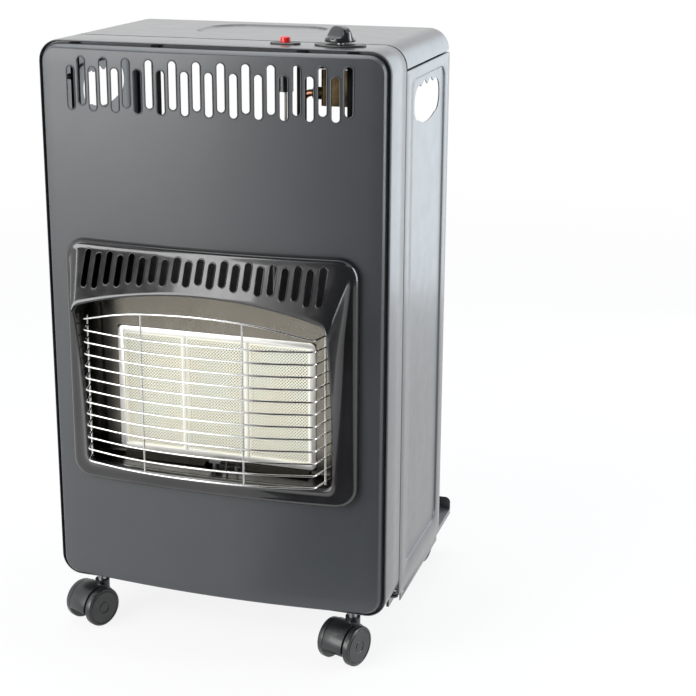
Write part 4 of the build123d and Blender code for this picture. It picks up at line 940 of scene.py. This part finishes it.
def build_side_panel(side, field_depth):
    """A side panel at the right for side 1, or at the left for -1."""
    name = "side_panel_right" if side > 0 else "side_panel_left"
    low_y, high_y = BACK + 1.2 * MM, BACK + 206 * MM
    low_z, high_z = 63.5 * MM, 697.5 * MM
    field_y = (BACK + 28.2 * MM, BACK + 183 * MM)
    field_low, field_high = 91.5 * MM, 685.5 * MM
    slope, rim, columns, rows = 3 * MM, 1.5 * MM, 14, 40
    half = (field_y[1] - field_y[0]) / 2 - slope
    middle = sum(field_y) / 2
    surface = Surface()

    def place(u, v, drop=field_depth):
        return (HALF_WIDTH - drop, middle + u, v)

    loop, edge = rounded_field(surface, half, field_low + slope, field_high - slope, 15 * MM,
                               columns, rows, place)
    steps = [(slope * i / 5, field_depth * (1 - eased(i / 5))) for i in range(1, 6)]
    edge = rolled_rings(surface, loop, edge, place, steps)
    shift = (low_y + high_y) / 2 - middle
    outline = [(u + shift, v, ou, ov) for u, v, ou, ov in rounded_loop(
        (high_y - low_y) / 2 - rim, low_z + rim, high_z - rim, 0.8 * MM, columns, rows)]
    for share in (0.5, 1.0):
        ring = surface.lay(blended(offset(loop, slope), outline, share),
                           lambda u, v: place(u, v, 0))
        surface.ring(edge, ring)
        edge = ring
    edge = rolled_rings(surface, outline, edge, place, quarter_roll(rim, 3))
    flange = []
    for u, v, ou, ov in outline:
        deep = ov > 0.5 or (ou > 0.5 and v > 300 * MM)
        flange.append(surface.add(place(u + ou * rim, v + ov * rim, (12 if deep else 2.4) * MM)))
    surface.ring(edge, flange)
    if side < 0:
        surface.verts = [(-x, y, z) for x, y, z in surface.verts]
        surface.faces = [tuple(reversed(face)) for face in surface.faces]
    panel = surface.sheet(f"{name}_skin")
    outline = hand_hole(BACK + 103.6 * MM, 653.5 * MM)
    cut(panel, block("hand_hole", *([(side * HALF_WIDTH + x, y, z) for y, z in outline]
                                    for x in (20 * MM, -20 * MM))))
    for z in (64 * MM, 672.5 * MM):
        add_lug(panel, Vector((side * (HALF_WIDTH - 7 * MM), BACK + 6 * MM, z)),
                Vector((side, 0, 0)), Vector((0, 1, 0)), Vector((0, 0, 2 * MM)), 4.8 * MM,
                7 * MM - SHEET + 0.3 * MM, 2.1 * MM)
    finish_piece(panel, name, angle=SHARP)


# ---- what the stage is made with ---------------------------------------------------------------
def seen_directly(graph):
    """1 for rays that come from the camera or off gloss or through glass, and else 0."""
    path = graph.node("ShaderNodeLightPath").outputs
    total = Number(graph, path["Is Camera Ray"])
    for name in ("Is Glossy Ray", "Is Transmission Ray"):
        total = total.reckon("MAXIMUM", path[name])
    return total


def dark_felt():
    """The matt black of the cards that darken the heater's gloss."""
    felt, graph, shader, _ = blank_finish("dark_felt")
    graph.fill(shader, Base_Color=(0.02, 0.02, 0.02, 1), Roughness=1.0)
    return felt


def pale_floor():
    """A matt pale floor that shows white, most of all far off, but keeps the heater's shadow."""
    floor, graph, matt, place = blank_finish("pale_floor")
    graph.fill(matt, Base_Color=(0.9, 0.9, 0.9, 1), Roughness=0.9, Specular_IOR_Level=0.0)
    glow = graph.node("ShaderNodeEmission", Color=(1, 1, 1, 1), Strength=1.0)
    away = graph.node("ShaderNodeVectorMath", {"operation": "LENGTH"}, _0=place).outputs["Value"]
    share = seen_directly(graph) * graph.mapped(away, 0.7, 3.0, 0.86, 1.0,
                                                interpolation_type="SMOOTHSTEP")
    mix = graph.node("ShaderNodeMixShader", _0=share, _1=matt, _2=glow)
    graph.fill(floor.node_tree.nodes["Material Output"], Surface=mix)
    return floor


def studio_world():
    """A dim, slightly blue world that the camera sees as white."""
    world = bpy.data.worlds.new("studio")
    world.use_nodes = True
    graph, nodes = Graph(world.node_tree), world.node_tree.nodes
    light = graph.fill(nodes["Background"], Color=(0.93, 0.96, 1.0, 1), Strength=0.36)
    white = graph.node("ShaderNodeBackground", Color=(1, 1, 1, 1))
    mix = graph.node("ShaderNodeMixShader", _0=seen_directly(graph), _1=light, _2=white)
    graph.fill(nodes["World Output"], Surface=mix)
    return world


def place_object(name, data, place, turn):
    """A linked camera or lamp."""
    holder = bpy.data.objects.new(name, data)
    holder.location, holder.rotation_euler = place, turn
    bpy.context.scene.collection.objects.link(holder)
    return holder


# ---- operators, one for each group of pieces ---------------------------------------------------
class HEATER_OT_finishes(bpy.types.Operator):
    """Mix paint, enamel, chrome and the other finishes"""
    bl_idname = "heater.finishes"
    bl_label = "Mix the finishes"

    def execute(self, context):
        mix_finishes(context.scene.heater_colours)
        return {"FINISHED"}


class HEATER_OT_front_panel(bpy.types.Operator):
    """Bowed front panel with its slots"""
    bl_idname = "heater.front_panel"
    bl_label = "Front panel"

    def execute(self, context):
        s = context.scene.heater_sizes
        roll = s.panel_edge
        surface = Surface()
        loop, edge = rounded_field(surface, PANEL_HALF - roll, PANEL_LOW.z + roll,
                                   PANEL_HIGH.z - roll, CORNER - 4 * MM - roll, 66, 40,
                                   lambda u, v: (u, bow(u), v))
        rolled_rings(surface, loop, edge, lambda x, z, drop: (x, bow(x) + drop, z),
                     [(reach * roll, drop * roll) for reach, drop in PANEL_ROLL])
        panel = surface.sheet("front_panel_skin")
        margin = 12 * MM
        window = rounded_loop(BEZEL_HALF - margin, BEZEL_LOW + margin, BEZEL_HIGH - margin,
                              12 * MM, 4, 4, 6)
        cut(panel, prism("window_room", window, GROOVE - 60 * MM, GROOVE + 30 * MM))
        slot_row_tree().run(
            panel, Count=s.slot_count, Pitch=s.slot_pitch, Width=s.slot_width, Low=SLOTS_LOW,
            High=SLOTS_HIGH, Raise_Low=6 * MM, Raise_High=11 * MM, Arch_Radius=100.0,
            Front=GROOVE - 60 * MM, Rim=0.8 * MM, Finish=FINISHES["cabinet_paint"])
        finish_piece(panel, "front_panel", angle=SHARP)
        return {"FINISHED"}


class HEATER_OT_casing(bpy.types.Operator):
    """Front casing with its beaded edge and groove"""
    bl_idname = "heater.casing"
    bl_label = "Casing"

    def execute(self, context):
        base = rounded_loop(HALF_WIDTH, CASING_LOW.z, CASING_HIGH.z, CORNER, 24, 40)
        depth = (BACK - GROOVE) / MM
        # the band's section, as (reach outwards, distance behind the groove) in mm
        steps = [(-18, 5), (-2.3, 5), (-1.7, 4.4), (-1.7, 0.7), (-1.4, 0.15), (-1.0, 0),
                 (-0.5, 0.5), (-0.15, 1.8), (0, 4), (0, depth / 2), (0, depth - 1),
                 (-0.3, depth - 0.3), (-0.8, depth)]
        surface = Surface()
        rings = [surface.lay(offset(base, reach * MM), lambda u, v, y=y: (u, GROOVE + y * MM, v))
                 for reach, y in steps]
        lip = 24 * MM
        rings.append([surface.add((u - ou * 1.4 * MM, BACK,
                                   min(max(v, CASING_LOW.z + lip), CASING_HIGH.z - lip)))
                      for u, v, ou, ov in base])
        surface.rings(rings)
        casing = surface.sheet("casing_band", 0.7 * MM)
        # holes for the knob, the button and the two front castors
        for x, y, z, radius in ((141, 35, 715, 6), (77, 36, 715, 7.6), (-165, 18, 55, 7.5),
                                (165, 18, 55, 7.5)):
            rim = [(x * MM + radius * MM * math.cos(a), GROOVE + y * MM + radius * MM * math.sin(a))
                   for a in around(32)]
            cut(casing, block("hole", *([(*spot, z * MM + height) for spot in rim]
                                        for height in (20 * MM, 0))))
        finish_piece(casing, "front_casing", angle=SHARP)
        return {"FINISHED"}


class HEATER_OT_bezel(bpy.types.Operator):
    """Black bezel with its slotted hood"""
    bl_idname = "heater.bezel"
    bl_label = "Burner bezel"

    def execute(self, context):
        s = context.scene.heater_sizes
        window = window_loop()
        outer = rounded_loop(BEZEL_HALF - BEZEL_ROLL, BEZEL_LOW + BEZEL_ROLL,
                             BEZEL_HIGH - BEZEL_ROLL, 24 * MM - BEZEL_ROLL, *RIM_COUNTS)
        surface = Surface()
        lip = 3 * MM
        rings = [surface.lay(window, lambda u, v: (u, bow(u, 10.6 * MM), v))]
        for turn in evenly(0, math.pi / 2, 4):
            reach, drop = lip * (1 - math.cos(turn)), lip * (1 - math.sin(turn))
            rings.append([surface.add((u, bow(u, lip_height(v) - drop), z)) for (_, v, *_),
                          (u, z, *_) in zip(window, offset(window, reach))])
        for away in evenly(0, 1, 16)[1:]:
            ring = []
            for (_, v, *_), (x, z) in zip(window, blended(offset(window, lip), outer, away)):
                top = eased((v - WINDOW_SPRING + 50 * MM) / (50 * MM))
                fall = (1 - away) ** (1 + 2.2 * (1 - top))
                proud = BEZEL_PROUD + (lip_height(v) - BEZEL_PROUD) * fall
                ring.append(surface.add((x, bow(x, proud), z)))
            rings.append(ring)
        surface.rings(rings)
        steps = quarter_roll(BEZEL_ROLL, 6) + [(BEZEL_ROLL, BEZEL_PROUD - 0.2 * MM)]
        rolled_rings(surface, outer, rings[-1],
                     lambda x, z, drop: (x, bow(x, BEZEL_PROUD - drop), z), steps)
        bezel = surface.sheet("bezel_hood")
        slot_row_tree().run(bezel, Count=s.hood_slot_count, Pitch=s.hood_slot_pitch,
                            Width=s.hood_slot_width, Low=WINDOW_ARCH + 14 * MM, High=491 * MM,
                            Raise_Low=-3 * MM, Raise_High=-3 * MM, Arch_Radius=1.35 * ARCH_RADIUS,
                            Front=GROOVE - 70 * MM, Rim=0.7 * MM, Finish=FINISHES["black_enamel"])
        finish_piece(bezel, "burner_bezel", angle=40)
        return {"FINISHED"}


class HEATER_OT_cove(bpy.types.Operator):
    """Reflector that curves from the bezel's window in to the burner's frame"""
    bl_idname = "heater.cove"
    bl_label = "Reflector"

    def execute(self, context):
        edge, deep, lead, turns = 0.4 * MM, 24 * MM, 14 * MM, 12
        frame_low, frame_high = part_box("plaque_frame")
        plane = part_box("reflector_back")[0].y
        inner = rounded_loop(frame_high.x + edge, frame_low.z - edge, frame_high.z + edge,
                             3 * MM, *RIM_COUNTS)
        window = window_loop()
        outer = offset(window, -edge)
        surface = Surface()
        rings = [surface.lay(inner, lambda u, v: (u, plane, v))]
        for i in range(1, turns + 1):
            turn = math.pi / 2 * i / turns
            ring = []
            for (u, v, *_), (far_u, far_v, *_) in zip(inner, outer):
                reach = max(1 - lead / math.hypot(far_u - u, far_v - v), 0) if i < turns else 0
                share = reach + (1 - reach) * math.sin(turn)
                ring.append(surface.add((u + (far_u - u) * share,
                                         plane - deep * (1 - math.cos(turn)),
                                         v + (far_v - v) * share)))
            rings.append(ring)
        rings.append([surface.add((u, bow(at, 10 * MM), v))
                      for (at, *_), (u, v, *_) in zip(window, outer)])
        surface.rings(rings)
        cove = surface.sheet("reflector_cove", 0.8 * MM)
        low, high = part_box("pilot_bracket")
        room = rectangle(low - Vector((2, 0, 9)) * MM, high + Vector((2, 0, 3)) * MM)
        cut(cove, prism("pilot_room", room, low.y - 4 * MM, plane + 20 * MM))
        finish_piece(cove, "reflector_box", "reflector_back", angle=50, slot="bright_steel",
                     finish="reflector_steel")
        # the side that faces away from the burner gets the near-black steel
        cove.data.materials.append(FINISHES["sooty_steel"])
        middle = Vector((0, GROOVE - 60 * MM, (frame_low.z + frame_high.z) / 2))
        for face in cove.data.polygons:
            if face.normal.dot(middle - face.center) < 0:
                face.material_index = 1
        return {"FINISHED"}


class HEATER_OT_frame(bpy.types.Operator):
    """Pressed frame round the plaques, with rounded corners"""
    bl_idname = "heater.frame"
    bl_label = "Plaque frame"

    def execute(self, context):
        low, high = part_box("plaque_frame")
        rim = prism("plaque_rim", rounded_loop(high.x, low.z, high.z, 7 * MM, 2, 2), low.y, high.y)
        # each plaque shows through a smaller opening in front of its seat
        for front, back, inset in ((-5, 1.2, 0.4), (1.2, 40, -0.15)):
            for name in PLAQUES:
                cut(rim, prism("room", rectangle(*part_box(name), inset * MM),
                               low.y + front * MM, low.y + back * MM))
        ease_edges(rim, 0.6 * MM, 40)
        finish_piece(rim, "plaque_frame")
        return {"FINISHED"}


class HEATER_OT_plaques(bpy.types.Operator):
    """Ceramic plaques with their fine holes"""
    bl_idname = "heater.plaques"
    bl_label = "Plaques"

    def execute(self, context):
        s = context.scene.heater_sizes
        tree = plaque_tree()
        for name in PLAQUES:
            low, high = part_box(name)
            surface = Surface()
            front, back = ([surface.add((x, y, z)) for x, z in rectangle(low, high)]
                           for y in (low.y, high.y))
            surface.ring(front, back)
            surface.faces.append(tuple(reversed(back)))
            slab = surface.piece(f"{name}_face")
            tree.run(slab, Low=low, High=high, Pitch=s.hole_pitch, Hole=s.hole_size,
                     Border=2.4 * MM, Finish=FINISHES["ceramic"])
            finish_piece(slab, name, angle=30)
        return {"FINISHED"}


class HEATER_OT_guard(bpy.types.Operator):
    """Chromed guard in front of the plaques"""
    bl_idname = "heater.guard"
    bl_label = "Wire guard"

    def execute(self, context):
        s = context.scene.heater_sizes
        wire = s.guard_wire
        level, rest = Surface(), Surface()
        guard_wire(level, GUARD_LOW, 0, wire)
        rows = level.piece("guard_rows")
        repeat_tree().run(rows, Count=s.guard_count, Finish=FINISHES["chrome_wire"],
                          Step=(GUARD_HIGH - GUARD_LOW) / (s.guard_count - 1))
        guard_wire(rest, GUARD_CROWN, GUARD_RISE, wire)
        uprights = [(x, guard_front(x) + 1.7 * wire, GUARD_LOW,
                     GUARD_CROWN + GUARD_RISE * (1 - guard_share(x)))
                    for x in (-61 * MM, 61 * MM)]
        uprights += [(x, GROOVE - 32 * MM, 237 * MM, GUARD_CROWN) for x in (-146 * MM, 146 * MM)]
        for x, y, *ends in uprights:
            rest.tube([Vector((x, y, z)) for z in ends], wire)
        for piece in (rows, rest.piece("guard_frame")):
            finish_piece(piece, "wire_guard", angle=60)
        return {"FINISHED"}


class HEATER_OT_sides(bpy.types.Operator):
    """Folding side panels with hand holes"""
    bl_idname = "heater.sides"
    bl_label = "Side panels"

    def execute(self, context):
        for side in (1, -1):
            build_side_panel(side, context.scene.heater_sizes.field_depth)
        return {"FINISHED"}


class HEATER_OT_cover(bpy.types.Operator):
    """Lifting top cover with its pressed shape"""
    bl_idname = "heater.cover"
    bl_label = "Top cover"

    def execute(self, context):
        depth = context.scene.heater_sizes.emboss_depth
        rear, top = COVER_HIGH.y, COVER_HIGH.z
        front, skirt = rear - 203 * MM, top - 26 * MM
        roll = 7 * MM
        inner = HALF_WIDTH - CORNER
        side = [(HALF_WIDTH, skirt, 1, 0), (HALF_WIDTH, top - CORNER, 1, 0)]
        side += [(inner + CORNER * math.cos(t), top - CORNER + CORNER * math.sin(t),
                  math.cos(t), math.sin(t)) for t in quarter(8)]
        section = [*side, *((u, top, 0, 1) for u in reversed(evenly(-inner, inner, 130))),
                   *mirrored(side)]
        middle = (front + rear) / 2 + 10 * MM

        def dip(x, y):
            """How deep the cover is pressed in: the field is a rounded rectangle."""
            half_x, half_y, corner, slope = 75 * MM, 55 * MM, 40 * MM, 2.2 * MM
            qx, qy = abs(x) - half_x + corner, abs(y - middle) - half_y + corner
            away = math.hypot(max(qx, 0), max(qy, 0)) + min(max(qx, qy), 0) - corner
            return depth * eased(-away / slope)

        surface = Surface()
        rings = [surface.lay(section, lambda u, v, y=y: (u, y, v - (
            dip(u, y) if v >= top - 1e-6 else 0))) for y in evenly(front, rear - roll, 76)]
        rings += [surface.lay(offset(section, -roll * (1 - math.cos(a))),
                              lambda u, v, a=a: (u, rear - roll + roll * math.sin(a), v))
                  for a in [*quarter(5), math.pi / 2]]
        for near, far in zip(rings, rings[1:]):
            surface.faces += [(far[i], far[i + 1], near[i + 1], near[i])
                              for i in range(len(section) - 1)]
        surface.faces.append(tuple(reversed(rings[-1])))
        cover = surface.sheet("cover_skin")
        for way in (1, -1):
            add_lug(cover, Vector((way * 178.5 * MM, BACK + 6 * MM, 721 * MM)), Vector((0, 1, 0)),
                    Vector((0, 0, 1)), Vector((way * 2 * MM, 0, 0)), 4 * MM, 8 * MM, 2.05 * MM)
        finish_piece(cover, "top_cover", angle=SHARP)
        return {"FINISHED"}


class HEATER_OT_base(bpy.types.Operator):
    """Folding base tray and the twin-wheel castors"""
    bl_idname = "heater.base"
    bl_label = "Base and castors"

    def execute(self, context):
        softened("base_tray", 0.35 * MM)
        axle_radius, axle_half = 3 * MM, 14.5 * MM
        for place, heading in CASTORS.items():
            low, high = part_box(f"castor_wheels_{place}")
            centre = (low + high) / 2
            turn = math.radians(heading)
            axis = Vector((-math.sin(turn), math.cos(turn), 0))
            surface = Surface()
            for way in (1, -1):
                surface.lathe([(r * MM, h * MM) for r, h in WHEEL],
                              centre + axis * way * 14 * MM, axis * way)
            surface.lathe([(0, -axle_half), (axle_radius, -axle_half), (axle_radius, axle_half),
                           (0, axle_half)], centre, axis, 24)
            finish_piece(surface.piece(f"wheels_{place}_turned"), f"castor_wheels_{place}")
            softened(f"castor_hood_{place}", 1.6 * MM, segments=3)
        return {"FINISHED"}


class HEATER_OT_controls(bpy.types.Operator):
    """Knob, ignition button and their plates"""
    bl_idname = "heater.controls"
    bl_label = "Controls"

    def execute(self, context):
        low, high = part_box("knob")
        centre = (low + high) / 2
        shoulder, ridge_half, ridge_width = 5.2 * MM, 16.6 * MM, 6.4 * MM

        def crown(r, angle):
            x, y = r * math.cos(angle), r * math.sin(angle)
            along = (x * math.cos(KNOB_TURN) + y * math.sin(KNOB_TURN)) / ridge_half
            across = (-x * math.sin(KNOB_TURN) + y * math.cos(KNOB_TURN)) / ridge_width
            ridge = math.exp(-across ** 4) * math.sqrt(max(1 - along ** 4, 0))
            return shoulder + (high.z - low.z - shoulder) * ridge

        def circle(r, height):
            return [surface.add((centre.x + r * math.cos(a), centre.y + r * math.sin(a),
                                 low.z + height(a))) for a in around(72)]

        surface = Surface()
        rings = [[surface.add((centre.x, centre.y, low.z + crown(0, 0)))]]
        rings += [circle(r, lambda a, r=r: crown(r, a)) for r in evenly(0, 15.8 * MM, 22)[1:]]
        rings += [circle(r * MM, lambda a, z=z: z * MM) for r, z in
                  ((16.6, 4.6), (17.0, 3.4), (17.2, 0.6), (16.8, 0), (8, 0))]
        surface.rings(rings)
        surface.faces.append(tuple(reversed(rings[-1])))
        finish_piece(surface.piece("knob_grip"), "knob", angle=50)

        low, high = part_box("igniter_button")
        surface = Surface()
        surface.lathe([(0, low.z), (4 * MM, low.z), (4 * MM, 726 * MM), (5.6 * MM, 728 * MM),
                       (5.6 * MM, high.z - 0.8 * MM), (4.8 * MM, high.z),
                       (3.4 * MM, high.z - 0.5 * MM), (0, high.z - 0.8 * MM)],
                      ((low.x + high.x) / 2, (low.y + high.y) / 2, 0), (0, 0, 1), 40)
        finish_piece(surface.piece("button_cap"), "igniter_button")
        softened("igniter_ring", 0.5 * MM, finish="dark_steel")
        softened("knob_plate", 0.6 * MM, finish="dark_steel")
        return {"FINISHED"}


class HEATER_OT_carried(bpy.types.Operator):
    """Finishes of the burner's and cabinet's inner parts, which keep the solids' shape"""
    bl_idname = "heater.carried"
    bl_label = "Inner parts"

    def execute(self, context):
        # the slot braces and upper brackets get the near-black steel as painted shade: behind the
        # top slots they stand in the cabinet's shade
        own = {"lower_strip": "reflector_steel", "burner_plenum": "sooty_steel",
               "heat_shield": "stained_zinc", "burner_brackets": "stained_zinc",
               "upper_brackets": "sooty_steel", "slot_braces": "sooty_steel"}
        for name, node in frame["nodes"].items():
            if not node.hide_render:
                paint(node, own.get(name, slot_of_node(name)))
        return {"FINISHED"}


class HEATER_OT_stage(bpy.types.Operator):
    """Floor, soft lamps and camera"""
    bl_idname = "heater.stage"
    bl_label = "Stage"

    def execute(self, context):
        scene = context.scene
        camera = bpy.data.cameras.new("camera")
        camera.lens, camera.sensor_width = CAMERA_LENS, 36
        camera.shift_x, camera.shift_y = CAMERA_SHIFT
        scene.camera = place_object("camera", camera, CAMERA_PLACE,
                                    [math.radians(a) for a in CAMERA_TURN])
        scene.view_settings.view_transform = "Standard"
        scene.world = studio_world()

        half = scene.heater_stage.floor_size / 2
        floor = new_piece("floor", [(-half, -half, 0), (half, -half, 0), (half, half, 0),
                                    (-half, half, 0)], [(0, 1, 2, 3)])
        floor.data.materials.append(pale_floor())
        for name, corners in CARDS:
            card = new_piece(name, corners, [(0, 1, 2, 3)])
            card.data.materials.append(dark_felt())
            card.visible_camera = card.visible_diffuse = card.visible_shadow = False
        for name, place, target, width, height, radiance, tint in LAMPS:
            lamp = bpy.data.lights.new(name, "AREA")
            lamp.shape, lamp.size, lamp.size_y = "RECTANGLE", width, height
            lamp.energy, lamp.color = radiance * math.pi * width * height, tint
            away = Vector(place) - Vector(target)
            turn = away.to_track_quat("Z", "Y").to_euler()
            place_object(name, lamp, place, turn).visible_camera = False
        return {"FINISHED"}


OPERATORS = (HEATER_OT_finishes, HEATER_OT_front_panel, HEATER_OT_casing, HEATER_OT_bezel,
             HEATER_OT_cove, HEATER_OT_frame, HEATER_OT_plaques, HEATER_OT_guard,
             HEATER_OT_sides, HEATER_OT_cover, HEATER_OT_base, HEATER_OT_controls,
             HEATER_OT_carried, HEATER_OT_stage)


class HEATER_PT_panel(bpy.types.Panel):
    """Lists the heater's pieces in the sidebar."""
    bl_label = "Cabinet Heater"
    bl_idname = "HEATER_PT_panel"
    bl_space_type = "VIEW_3D"
    bl_region_type = "UI"
    bl_category = "Heater"

    def draw(self, context):
        for kind in OPERATORS:
            self.layout.operator(kind.bl_idname)
        for name in GROUPS:
            settings = getattr(context.scene, name)
            box = self.layout.box()
            for key in settings.__annotations__:
                box.prop(settings, key)


GROUPS = {"heater_sizes": HeaterSizes, "heater_colours": HeaterColours, "heater_stage": HeaterStage}
CLASSES = (*GROUPS.values(), *OPERATORS, HEATER_PT_panel)


def register():
    for kind in CLASSES:
        bpy.utils.register_class(kind)
    for name, kind in GROUPS.items():
        setattr(bpy.types.Scene, name, bpy.props.PointerProperty(type=kind))


def unregister():
    for name in GROUPS:
        delattr(bpy.types.Scene, name)
    for kind in reversed(CLASSES):
        bpy.utils.unregister_class(kind)


def main():
    register()
    for kind in OPERATORS:
        getattr(bpy.ops.heater, kind.bl_idname.partition(".")[2])()


if __name__ == "__main__":
    main()
